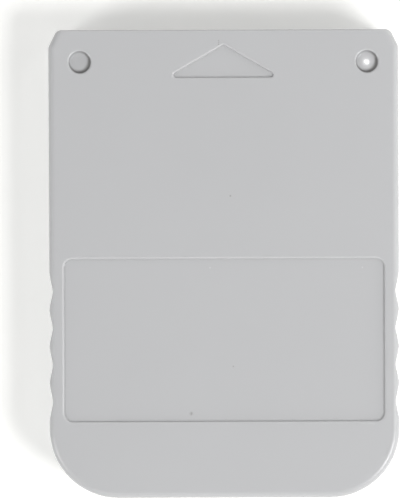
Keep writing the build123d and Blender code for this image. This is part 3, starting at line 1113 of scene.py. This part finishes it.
def finger_tracks():
    """From five contacts to the resistors, and from the other three out to the edges."""
    tracks = []
    ends = [((low.x + high.x) / 2, low.y) for low, high in finger_boxes]
    for (x, y), (low, high) in zip(reversed(ends[1:6]), resistor_boxes):
        target = (low.x + high.x) / 2
        tracks.append(track((x, y), (x, high.y + abs(x - target)), (target, high.y)))
    outer = [(0, 3.2 * mm, 15.0 * mm), (6, -2.3 * mm, 9.5 * mm), (7, -3.0 * mm, 15.0 * mm)]
    for finger, aside, down in outer:
        x, y = ends[finger]
        bend = y - 1.0 * mm
        tracks.append(track((x, y), (x, bend), (x + aside, bend - abs(aside)), (x + aside, bend - down)))
    return tracks


def resistor_tracks():
    """From the resistors under the memory to the controller's upper row of leads."""
    tracks = []
    middle = (controller_low.x + controller_high.x) / 2
    for lead, (low, high) in zip(resistor_leads, resistor_boxes):
        x = (low.x + high.x) / 2
        target = middle + lead * controller_pitch
        foot = controller_high.y
        tracks.append(track((x, low.y), (x, foot + abs(x - target)), (target, foot)))
    return tracks


def stub_tracks():
    """Short tracks from every second lead of the memory and the controller to vias beside them."""
    tracks = []
    middle = (memory_low.y + memory_high.y) / 2
    for number in range(memory_stubs):
        y = middle + (2 * number - (memory_leads - 1) / 2) * memory_pitch
        reach = (0.8 + 0.7 * (number % 2)) * mm
        tracks.append(track((memory_high.x, y), (memory_high.x + reach, y)))
    middle = (controller_low.x + controller_high.x) / 2
    for number in range(controller_stubs):
        x = middle + (2 * number - (controller_stubs - 1)) * controller_pitch
        tracks.append(track((x, controller_low.y), (x, controller_low.y - 0.9 * mm)))
    return tracks


routes = finger_tracks() + resistor_tracks() + stub_tracks()
track_piece = new_piece("board_tracks", path_mesh("board_tracks", *routes))
copper_finish = metal("masked copper", (0.03, 0.20, 0.08, 1), (0.024, 0.17, 0.065, 1), 0.25, 0.4, 300.0)
run_tree(track_piece, track_tree(), finish=copper_finish)
even_normals(track_piece, 40)
dress(track_piece, copper_finish, "board_laminate")
print("tracks:", len(routes), "with", len(track_piece.data.polygons), "faces")

# %% [markdown]
# ## Inside: contacts
# Eight equal contacts stand in a row behind the mouth. One is made as a slab with soft edges, and a
# node tree repeats it at the connector's pitch.

# %% Contacts
contact_edge = 0.025 * mm


def soft_slab(low, high, edge, segments):
    """A slab between two corners with rounded edges."""
    bm = bmesh.new()
    bmesh.ops.create_cube(bm, size=1.0)
    bmesh.ops.scale(bm, vec=high - low, verts=bm.verts)
    bmesh.ops.translate(bm, vec=(low + high) / 2, verts=bm.verts)
    bmesh.ops.bevel(
        bm, geom=bm.edges[:], offset=edge, segments=segments, profile=0.5, affect="EDGES"
    )
    return bm


def row_tree():
    """Repeat a shape along X."""
    tree, start, end = geometry_tree("row", {"Count": 2, "Pitch": 0.0})
    given = start.outputs
    step = add_node(tree, "ShaderNodeCombineXYZ", X=given["Pitch"])
    line = add_node(
        tree, "GeometryNodeMeshLine", {"mode": "OFFSET"}, Count=given["Count"], Offset=step.outputs[0]
    )
    repeated = add_node(
        tree, "GeometryNodeInstanceOnPoints", Points=line.outputs[0], Instance=given["Geometry"]
    )
    close_tree(tree, end, repeated.outputs[0], given["Finish"])
    return tree


contacts = new_piece("contacts", mesh_of(soft_slab(*finger_boxes[0], contact_edge, 2), "contacts"))
contact_pitch = finger_boxes[1][0].x - finger_boxes[0][0].x
run_tree(contacts, row_tree(), count=finger_count, pitch=contact_pitch, finish=gold_finish)
even_normals(contacts, 60)
dress(contacts, gold_finish, "contact_gold", *[f"contact_finger_{n + 1}" for n in range(finger_count)])
print("contacts:", len(contacts.data.polygons), "faces")

# %% [markdown]
# ## Inside: moulded packages
# A chip's body is moulded in two halves, each with a little draft, so it is widest at its leads. It is
# a stack of loops again, and a small round mark is sunk into its face next to the first lead.

# %% Package bodies
package_corner = 0.2 * mm
package_draft = 0.06 * mm
package_edge = 0.04 * mm
package_arc_steps = 4
mark_radius = 0.45 * mm
mark_depth = 0.06 * mm
mark_draft = 0.85
mark_points = 24


def package_body(node, mark_place):
    """A moulded body with drafted halves, and a round mark so far in from its corner, if it has one."""
    low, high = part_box(node)
    corners = [
        Corner(high.x, high.y, package_corner),
        Corner(low.x, high.y, package_corner),
        Corner(low.x, low.y, package_corner),
        Corner(high.x, low.y, package_corner),
    ]
    section = [
        (package_draft + package_edge, high.z),
        (package_draft, high.z - package_edge),
        (0.0, (low.z + high.z) / 2),
        (package_draft, low.z + package_edge),
        (package_draft + package_edge, low.z),
    ]
    bm = bmesh.new()
    rings = []
    for inset, height in section:
        loop = rounded_loop(corners, (inset, inset), package_arc_steps)
        rings.append(ring(bm, [(x, y, height) for x, y, share in loop]))
    first, last = stack(bm, rings)
    bm.faces.new(first)
    edges = loop_edges(bm, last)
    if mark_place:
        rings = []
        for radius, height in ((mark_radius, low.z), (mark_radius * mark_draft, low.z + mark_depth)):
            points = circle(low.x + mark_place, high.y - mark_place, radius, height, mark_points)
            rings.append(ring(bm, points))
        outer, inner = stack(bm, rings)
        bm.faces.new(inner)
        edges += loop_edges(bm, outer)
    fill_flat(bm, edges, (0, 0, -1))
    bmesh.ops.recalc_face_normals(bm, faces=bm.faces)
    piece = even_normals(new_piece(node.replace("_body", ""), mesh_of(bm, node)), 35)
    return dress(piece, epoxy_finish, "chip_epoxy", node)


for node, mark_place in (
    ("memory_chip_body", 1.2 * mm),
    ("controller_chip_body", 1.2 * mm),
    ("voltage_detector_body", 0.0),
):
    package = package_body(node, mark_place)
    print(package.name, len(package.data.polygons), "faces")

# %% [markdown]
# ## Inside: leads
# A lead is a strip of tinned metal, bent down from the body's middle to a foot on the board, where a
# little solder holds it. All leads of a package are alike and stand in rows, so a node tree rounds the
# bends, sweeps the strip, adds the solder, repeats the lead and sets the row at the package's edge.

# %% Lead row tree
lead_thickness = 0.15 * mm
lead_bend = 0.14 * mm
solder_height = 0.11 * mm
solder_length_share = 0.62
solder_width_share = 0.75


def below_board(tree, geometry, height):
    """Flatten what stands above a height, so that it ends on the board."""
    position = add_node(tree, "GeometryNodeInputPosition").outputs[0]
    parts = add_node(tree, "ShaderNodeSeparateXYZ", Vector=position).outputs
    lower = calculate(tree, "MINIMUM", parts["Z"], height)
    moved = add_node(tree, "ShaderNodeCombineXYZ", X=parts["X"], Y=parts["Y"], Z=lower)
    flat = add_node(tree, "GeometryNodeSetPosition", Geometry=geometry, Position=moved.outputs[0])
    return flat.outputs[0]


def lead_row_tree():
    """Bend one lead along a path, solder its foot, repeat it and set the row at an edge."""
    tree, start, end = geometry_tree(
        "lead row",
        {
            "Count": 2,
            "Pitch": 0.0,
            "Width": 0.0,
            "Thickness": lead_thickness,
            "Bend": lead_bend,
            "Foot start": 0.0,
            "Foot end": 0.0,
            "Solder": solder_height,
            "Turn": 0.0,
            "Place": Vector(),
        },
    )
    given = start.outputs
    path = add_node(tree, "GeometryNodeMeshToCurve", Mesh=given["Geometry"])
    path = add_node(
        tree,
        "GeometryNodeFilletCurve",
        {"mode": "POLY"},
        Curve=path.outputs[0],
        Count=4,
        Radius=given["Bend"],
        Limit_Radius=True,
    )
    strip = add_node(
        tree,
        "GeometryNodeCurvePrimitiveQuadrilateral",
        {"mode": "RECTANGLE"},
        Width=given["Width"],
        Height=given["Thickness"],
    )
    strip = add_node(
        tree,
        "GeometryNodeFilletCurve",
        {"mode": "POLY"},
        Curve=strip.outputs[0],
        Count=1,
        Radius=calculate(tree, "MULTIPLY", given["Thickness"], 0.2),
    )
    lead = add_node(
        tree,
        "GeometryNodeCurveToMesh",
        Curve=path.outputs[0],
        Profile_Curve=strip.outputs[0],
        Fill_Caps=True,
    )
    ball = add_node(tree, "GeometryNodeMeshUVSphere", Segments=12, Rings=6, Radius=1.0)
    span = calculate(tree, "SUBTRACT", given["Foot end"], given["Foot start"])
    middle = calculate(tree, "MULTIPLY_ADD", span, 0.5, given["Foot start"])
    size = add_node(
        tree,
        "ShaderNodeCombineXYZ",
        X=calculate(tree, "MULTIPLY", span, solder_length_share),
        Y=calculate(tree, "MULTIPLY", given["Width"], solder_width_share),
        Z=given["Solder"],
    )
    heap = add_node(
        tree,
        "GeometryNodeTransform",
        Geometry=ball.outputs[0],
        Translation=add_node(tree, "ShaderNodeCombineXYZ", X=middle).outputs[0],
        Scale=size.outputs[0],
    )
    under = below_board(tree, heap.outputs[0], 0.0)
    lead_and_solder = tree.nodes.new("GeometryNodeJoinGeometry")
    tree.links.new(lead.outputs[0], lead_and_solder.inputs[0])
    tree.links.new(under, lead_and_solder.inputs[0])
    half_row = calculate(tree, "MULTIPLY", calculate(tree, "SUBTRACT", given["Count"], 1), -0.5)
    first = add_node(tree, "ShaderNodeCombineXYZ", Y=calculate(tree, "MULTIPLY", half_row, given["Pitch"]))
    step = add_node(tree, "ShaderNodeCombineXYZ", Y=given["Pitch"])
    line = add_node(
        tree,
        "GeometryNodeMeshLine",
        {"mode": "OFFSET"},
        Count=given["Count"],
        Start_Location=first.outputs[0],
        Offset=step.outputs[0],
    )
    row = add_node(
        tree,
        "GeometryNodeInstanceOnPoints",
        Points=line.outputs[0],
        Instance=lead_and_solder.outputs[0],
    )
    turned = add_node(
        tree,
        "GeometryNodeTransform",
        Geometry=row.outputs[0],
        Translation=given["Place"],
        Rotation=add_node(tree, "ShaderNodeCombineXYZ", Z=given["Turn"]).outputs[0],
    )
    close_tree(tree, end, turned.outputs[0], given["Finish"])
    return tree


lead_tree = lead_row_tree()

# %% Leads
Side = namedtuple("Side", "turn count")


def package_leads(chip, sides, pitch, width, shoulder, reach):
    """All leads of a package, row by row."""
    low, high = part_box(chip + "_body")
    centre = (low + high) / 2
    knee = shoulder - lead_thickness / 2
    sole = -lead_thickness / 2
    level = centre.z - parting
    lead = [(0, 0, level), (knee, 0, level), (knee, 0, sole), (reach, 0, sole)]
    rows = []
    for side in sides:
        turn = math.radians(side.turn)
        way = Vector((math.cos(turn), math.sin(turn), 0))
        edge = (high.x - low.x) / 2 if abs(way.x) > 0.5 else (high.y - low.y) / 2
        place = Vector((centre.x, centre.y, parting)) + way * edge
        row = new_piece("row", path_mesh("row", lead))
        run_tree(
            row,
            lead_tree,
            count=side.count,
            pitch=pitch,
            width=width,
            foot_start=shoulder,
            foot_end=reach,
            turn=turn,
            place=place,
            finish=tin_finish,
        )
        rows.append(row)
    piece = even_normals(joined(chip + "_lead_rows", rows), 40)
    return dress(piece, tin_finish, "tinned_leads", chip + "_leads")


memory_sides = [Side(turn, memory_leads) for turn in (0, 180)]
controller_sides = [Side(turn, controller_leads) for turn in (0, 90, 180, 270)]
detector_sides = [Side(90, 1), Side(270, 2)]
for rows in (
    package_leads("memory_chip", memory_sides, memory_pitch, 0.2 * mm, 0.3 * mm, 0.8 * mm),
    package_leads("controller_chip", controller_sides, controller_pitch, 0.35 * mm, 0.5 * mm, 1.3 * mm),
    package_leads("voltage_detector", detector_sides, 1.9 * mm, 0.4 * mm, 0.3 * mm, 0.75 * mm),
):
    print(rows.name, len(rows.data.polygons), "faces")

# %% [markdown]
# ## Inside: small parts
# The capacitors, resistors, resonator and tantalum part are small blocks with plated ends. Each is a
# slab with soft edges, cut at the ends of its bands, and either its bands or its body are drawn in a
# little, so that the plating reads as a separate layer.

# %% Small parts
band_step = 0.015 * mm
capacitor_count = 6
Bands = namedtuple("Bands", "places body_share band_share edge")


def long_axis(size):
    """0 for a part that lies along X, 1 for one along Y."""
    return 0 if size.x > size.y else 1


def small_part(node, bands, finish, slot_name):
    """A block with plated bands, each from one share of its length to another."""
    low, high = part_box(node)
    size = high - low
    axis = long_axis(size)
    way = Vector((1 - axis, axis, 0))
    bm = soft_slab(low, high, bands.edge, 3)
    plated = bm.verts.layers.float.new("plated")
    for share in sum(bands.places, ()):
        for step in (-band_step, band_step):
            if 0 < share < 1:
                bmesh.ops.bisect_plane(
                    bm,
                    geom=bm.verts[:] + bm.edges[:] + bm.faces[:],
                    dist=cut_tolerance,
                    plane_co=low + way * (size[axis] * share + step),
                    plane_no=way,
                )
    across = 1 - axis
    middle = (low[across] + high[across]) / 2
    for vert in bm.verts:
        along = (vert.co[axis] - low[axis]) / size[axis]
        vert[plated] = float(any(start <= along <= stop for start, stop in bands.places))
        keep = bands.band_share if vert[plated] else bands.body_share
        vert.co[across] = middle + (vert.co[across] - middle) * keep
        vert.co.z = high.z - (high.z - vert.co.z) * keep
    piece = even_normals(new_piece(node + "_block", mesh_of(bm, node)), 40)
    return dress(piece, finish, slot_name, node)


chip_bands = Bands([(0.0, 0.2), (0.8, 1.0)], 0.94, 1.0, 0.07 * mm)
resistor_bands = Bands([(0.0, 0.2), (0.8, 1.0)], 0.92, 1.0, 0.04 * mm)
resonator_bands = Bands([(0.0, 0.12), (0.43, 0.57), (0.88, 1.0)], 0.98, 1.0, 0.12 * mm)
tantalum_bands = Bands([(0.0, 0.07), (0.93, 1.0)], 1.0, 0.72, 0.12 * mm)
small_parts = [
    small_part("ceramic_resonator", resonator_bands, resonator_finish, "resonator_ceramic"),
    small_part("tantalum_capacitor", tantalum_bands, tantalum_finish, "tantalum_resin"),
]
for number in range(capacitor_count):
    node = f"chip_capacitor_{number + 1}"
    small_parts.append(small_part(node, chip_bands, capacitor_finish, "capacitor_ceramic"))
for number in range(resistor_count):
    node = f"chip_resistor_{number + 1}"
    small_parts.append(small_part(node, resistor_bands, resistor_finish, "resistor_ceramic"))
print("small parts:", len(small_parts))

# %% [markdown]
# ## Inside: solder
# Solder climbs the plated ends. A heap is a flattened ball, cut off at the board, and a node tree sets
# one at every end of the small parts.


# %% Solder heaps
heap_reach = 0.35 * mm
heap_width_share = 0.9
heap_height_share = 0.45


def solder_tree():
    """Set a heap on every point of a mesh, cut off at the board."""
    tree, start, end = geometry_tree(
        "solder", {"Length": 0.0, "Width": 0.0, "Height": 0.0, "Board": parting}
    )
    given = start.outputs
    ball = add_node(tree, "GeometryNodeMeshUVSphere", Segments=16, Rings=8, Radius=0.5)
    size = add_node(
        tree,
        "ShaderNodeCombineXYZ",
        X=given["Width"],
        Y=given["Length"],
        Z=calculate(tree, "MULTIPLY", given["Height"], 2.0),
    )
    heap = add_node(tree, "GeometryNodeTransform", Geometry=ball.outputs[0], Scale=size.outputs[0])
    heaps = add_node(
        tree, "GeometryNodeInstanceOnPoints", Points=given["Geometry"], Instance=heap.outputs[0]
    )
    real = add_node(tree, "GeometryNodeRealizeInstances", Geometry=heaps.outputs[0])
    close_tree(tree, end, below_board(tree, real.outputs[0], given["Board"]), given["Finish"])
    return tree


def solder_ends(tree, nodes):
    """Heaps at both ends of small parts of one size."""
    points = []
    for node in nodes:
        low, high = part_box(node)
        size = high - low
        axis = long_axis(size)
        for end in (low, high):
            point = (low + high) / 2
            point[axis] = end[axis]
            points.append((point.x, point.y, parting))
    heaps = new_piece("heaps", path_mesh("heaps", *[[point] for point in points]))
    sides = [size.x * heap_width_share, size.y * heap_width_share]
    sides[axis] = heap_reach
    height = size.z * heap_height_share
    return run_tree(heaps, tree, width=sides[0], length=sides[1], height=height, finish=tin_finish)


heap_tree = solder_tree()
heap_groups = [
    solder_ends(heap_tree, [f"chip_capacitor_{number + 1}" for number in range(capacitor_count)]),
    solder_ends(heap_tree, [f"chip_resistor_{number + 1}" for number in range(resistor_count)]),
    solder_ends(heap_tree, ["ceramic_resonator"]),
    solder_ends(heap_tree, ["tantalum_capacitor"]),
]
solder = dress(joined("solder", heap_groups), tin_finish, "tinned_leads")
print("solder:", len(solder.data.polygons), "faces")

# %% [markdown]
# ## Screw
# The screw's head, with its cross slot, is the solid's own, with its edges softened by a bevel. Its
# plain shaft is cut away and made again as a thinner core with a thread round it. The thread is a
# strip with a diamond section swept along a helix by a node tree, as wide as the solid's shaft.

# %% Screw
screw_low, screw_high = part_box("case_screw")
screw_x = (screw_low.x + screw_high.x) / 2
screw_y = (screw_low.y + screw_high.y) / 2
head_top = screw_low.z + 1.2 * mm
shaft_radius = 0.9 * mm
core_radius = 0.64 * mm
core_points = 28
thread_pitch = 0.7 * mm
ridge_share = 0.28
thread_start = head_top + 0.3 * mm
thread_end = screw_high.z - 0.35 * mm
tip_share = 0.3
head_edge = 0.08 * mm
head_overlap = 0.05 * mm


def thread_tree():
    """Sweep a diamond section along a helix."""
    tree, start, end = geometry_tree(
        "thread",
        {
            "Core": core_radius,
            "Outer": shaft_radius,
            "Pitch": thread_pitch,
            "Length": 0.0,
            "Place": Vector(),
        },
    )
    given = start.outputs
    helix = add_node(
        tree,
        "GeometryNodeCurveSpiral",
        Resolution=core_points,
        Rotations=calculate(tree, "DIVIDE", given["Length"], given["Pitch"]),
        Start_Radius=given["Core"],
        End_Radius=given["Core"],
        Height=given["Length"],
    )
    upright = add_node(tree, "GeometryNodeSetCurveNormal", {"mode": "Z_UP"}, Curve=helix.outputs[0])
    rise = calculate(tree, "SUBTRACT", given["Outer"], given["Core"])
    diamond = add_node(
        tree,
        "GeometryNodeCurvePrimitiveQuadrilateral",
        {"mode": "KITE"},
        Width=calculate(tree, "MULTIPLY", rise, 2.0),
        Bottom_Height=calculate(tree, "MULTIPLY", given["Pitch"], ridge_share),
        Top_Height=calculate(tree, "MULTIPLY", given["Pitch"], ridge_share),
    )
    ridge = add_node(
        tree,
        "GeometryNodeCurveToMesh",
        Curve=upright.outputs[0],
        Profile_Curve=diamond.outputs[0],
        Fill_Caps=True,
    )
    placed = add_node(
        tree, "GeometryNodeTransform", Geometry=ridge.outputs[0], Translation=given["Place"]
    )
    close_tree(tree, end, placed.outputs[0], given["Finish"])
    return tree


def screw_head():
    """The solid's head, closed where its shaft began, with a bevel on its edges."""
    bm = solid_copy("case_screw")
    shaft = [vert for vert in bm.verts if vert.co.z > head_top + plane_tolerance]
    bmesh.ops.delete(bm, geom=shaft, context="VERTS")
    bmesh.ops.holes_fill(bm, edges=[e for e in bm.edges if e.is_boundary], sides=0)
    bmesh.ops.dissolve_limit(bm, angle_limit=math.radians(0.5), verts=bm.verts, edges=bm.edges)
    piece = new_piece("screw_head", mesh_of(bm, "screw_head"))
    bevel = piece.modifiers.new("soft edges", "BEVEL")
    bevel.width = head_edge
    bevel.segments = 2
    bevel.limit_method = "ANGLE"
    bevel.angle_limit = math.radians(50)
    return baked(piece)


def screw_core():
    """The core of the shaft, with a blunt tip."""
    bm = bmesh.new()
    rings = []
    for radius, height in (
        (core_radius, head_top - head_overlap),
        (core_radius, thread_end),
        (core_radius * tip_share, screw_high.z),
    ):
        rings.append(ring(bm, circle(screw_x, screw_y, radius, height, core_points)))
    first, last = stack(bm, rings)
    bm.faces.new(first)
    bm.faces.new(last)
    bmesh.ops.recalc_face_normals(bm, faces=bm.faces)
    return new_piece("screw_core", mesh_of(bm, "screw_core"))


thread = new_piece("thread", path_mesh("thread"))
run_tree(
    thread,
    thread_tree(),
    length=thread_end - thread_start,
    place=Vector((screw_x, screw_y, thread_start)),
    finish=steel_finish,
)
screw = even_normals(joined("screw", [screw_head(), screw_core(), thread]), 35)
dress(screw, steel_finish, "screw_steel", "case_screw")
print("screw:", len(screw.data.polygons), "faces")

# %% [markdown]
# ## Floor and surroundings
# The card lies on white paper, which burns out to white in the photograph, except in the shadows. So
# the floor is a white sheet that also glows a little for the camera, and further out it fades to plain
# white, so that it has no edge. It has one side only: from below it is clear, and it never holds back a
# lamp's light, so that a lamp under it can show the card's back. Even light comes from all round.

# %% Floor and surroundings
even_light = 0.21
floor_half = 1.5
floor_gap = 0.01 * mm
paper_white = (0.95, 0.95, 0.925, 1)
paper_lift = 0.205
fade_start = 55 * mm
fade_end = 100 * mm


def seen_rays(light_path):
    """Which rays show a thing as it is seen: straight to the camera, or by a mirror image."""
    return light_path["Is Camera Ray"], light_path["Is Glossy Ray"]


def white_floor():
    """A white floor round the card, which fades to plain white further out for the camera."""
    material, tree, shader, place = new_material("white floor")
    shader.inputs["Roughness"].default_value = 0.9
    shader.inputs["Specular IOR Level"].default_value = 0.0
    away = add_node(tree, "ShaderNodeVectorMath", {"operation": "LENGTH"}, in_0=place).outputs["Value"]
    fade = between(tree, away, fade_start, fade_end)
    paper = blend_colour(tree, fade, paper_white, (0, 0, 0, 1))
    tree.links.new(paper, shader.inputs["Base Color"])
    light_path = tree.nodes.new("ShaderNodeLightPath").outputs
    seen = calculate(tree, "MAXIMUM", *seen_rays(light_path))
    unseen_glow = calculate(tree, "MULTIPLY", fade, even_light)
    glow = blend_value(tree, seen, unseen_glow, blend_value(tree, fade, paper_lift, 1.0))
    tree.links.new(glow, shader.inputs["Emission Color"])
    shader.inputs["Emission Strength"].default_value = 1.0
    below = tree.nodes.new("ShaderNodeNewGeometry").outputs["Backfacing"]
    below = calculate(tree, "MAXIMUM", below, light_path["Is Shadow Ray"])
    clear = tree.nodes.new("ShaderNodeBsdfTransparent").outputs[0]
    one_sided = add_node(tree, "ShaderNodeMixShader", in_0=below, in_1=shader.outputs[0], in_2=clear)
    tree.links.new(one_sided.outputs[0], tree.nodes["Material Output"].inputs["Surface"])
    return material


floor_bm = bmesh.new()
bmesh.ops.create_grid(floor_bm, x_segments=1, y_segments=1, size=floor_half)
floor = new_piece("floor", mesh_of(floor_bm, "floor"))
floor.location.z = cad_low.z - floor_gap
floor.data.materials.append(white_floor())

world = bpy.data.worlds.new("even light")
bpy.context.scene.world = world
world.use_nodes = True
background = world.node_tree.nodes["Background"]
background.inputs["Color"].default_value = (1, 1, 1, 1)
world_path = world.node_tree.nodes.new("ShaderNodeLightPath").outputs
seen = calculate(world.node_tree, "MAXIMUM", *seen_rays(world_path))
seen = calculate(world.node_tree, "MAXIMUM", seen, world_path["Is Transmission Ray"])
strength = blend_value(world.node_tree, seen, even_light, 1.0)
world.node_tree.links.new(strength, background.inputs["Strength"])
print("floor:", floor.name, "with even light of", even_light)

# %% [markdown]
# ## Lamps
# A strong panel stands at the right on the tail side. It throws the shadow to the left and beyond the
# nose, and its size gives the shadow a soft edge. A weaker panel at the left and a wide one overhead
# fill in. Four low panels bring out the rims and the walls of the recesses. The card doesn't mirror
# them, because they would glare on the face in a low view. The last panel lights the back from below.


# %% Lamps
def panel_lamp(name, level, turn, rise, distance, half_width, half_height, mirrored=True):
    """A panel that faces the card and lights a white sheet there to a level, 1 being white.

    turn is its bearing from +X and rise its height in degrees, and the half sizes are in degrees too.
    A low panel isn't mirrored in the card, because it would glare on the face in a low view.
    """
    way = Vector((math.cos(math.radians(turn)), math.sin(math.radians(turn)), 0.0))
    way = way * math.cos(math.radians(rise)) + Vector((0, 0, math.sin(math.radians(rise))))
    data = bpy.data.lights.new(name, "AREA")
    data.shape = "RECTANGLE"
    data.size = 2 * distance * math.tan(math.radians(half_width))
    data.size_y = 2 * distance * math.tan(math.radians(half_height))
    data.energy = level * math.pi**2 * distance**2 / abs(way.z)
    lamp = bpy.data.objects.new(name, data)
    bpy.context.scene.collection.objects.link(lamp)
    lamp.location = way * distance
    lamp.rotation_euler = (-way).to_track_quat("-Z", "Y").to_euler()
    lamp.visible_camera = False
    lamp.visible_glossy = mirrored
    return lamp


panel_lamp("right lamp", 0.435, -30.0, 47.6, 0.50, 9.0, 9.0)
panel_lamp("low right lamp", 0.085, 8.0, 14.0, 0.60, 22.0, 10.0, mirrored=False)
panel_lamp("low tail lamp", 0.055, -82.0, 14.0, 0.60, 22.0, 10.0, mirrored=False)
panel_lamp("left lamp", 0.16, 207.0, 37.0, 0.90, 8.0, 8.0)
panel_lamp("low left lamp", 0.03, 183.0, 12.0, 0.60, 22.0, 8.0, mirrored=False)
panel_lamp("overhead lamp", 0.11, 90.0, 68.0, 1.0, 20.0, 14.0)
panel_lamp("low nose lamp", 0.04, 90.0, 20.0, 0.60, 22.0, 8.0, mirrored=False)
panel_lamp("under lamp", 0.55, 200.0, -60.0, 0.60, 12.0, 12.0)
print("panel lamps:", len(bpy.data.lights))

# %% [markdown]
# ## Small lamp and camera
# The right dimple shows a small white spot, a lamp's image in its smooth floor. A narrow spotlight
# makes it. It stands where the floor mirrors it into the camera, and its beam is no wider than the
# dimple. The camera looks straight down. Its lens gives the plane at the foot of the rounded rim the
# photograph's own scale.

# %% Small lamp for the right dimple
view_height = 0.3
rim_plane = top - rim_radius
eye = Vector((-2.865 * mm, 1.73 * mm, rim_plane + view_height))
dimple_floor = Vector((dimple_x, dimple_y, top - dimple_depth))
glint_distance = 0.15
to_eye = (eye - dimple_floor).normalized()
to_lamp = Vector((-to_eye.x, -to_eye.y, to_eye.z))
glint_data = bpy.data.lights.new("small lamp", "SPOT")
glint_data.energy = 0.03
glint_data.spot_size = math.radians(1.0)
glint_data.spot_blend = 0.2
glint_data.shadow_soft_size = 0.3 * mm
glint = bpy.data.objects.new("small lamp", glint_data)
bpy.context.scene.collection.objects.link(glint)
glint.location = dimple_floor + to_lamp * glint_distance
glint.rotation_euler = (-to_lamp).to_track_quat("-Z", "Y").to_euler()
print("small lamp over the dimple at", [round(v / mm, 2) for v in dimple_floor.xy], "mm")

# %% Camera
pixels_per_metre = 8332.0
frame_pixels = 499
sensor = 36.0
camera_roll = -0.2
camera_data = bpy.data.cameras.new("camera")
camera_data.sensor_width = sensor
camera_data.lens = sensor * view_height * pixels_per_metre / frame_pixels
camera_data.clip_start = 0.01
camera_data.clip_end = 10
camera = bpy.data.objects.new("camera", camera_data)
bpy.context.scene.collection.objects.link(camera)
camera.location = eye
camera.rotation_euler = (0, 0, math.radians(camera_roll))
bpy.context.scene.camera = camera
bpy.context.scene.view_settings.view_transform = "Standard"
print("camera lens:", round(camera_data.lens, 1), "mm")
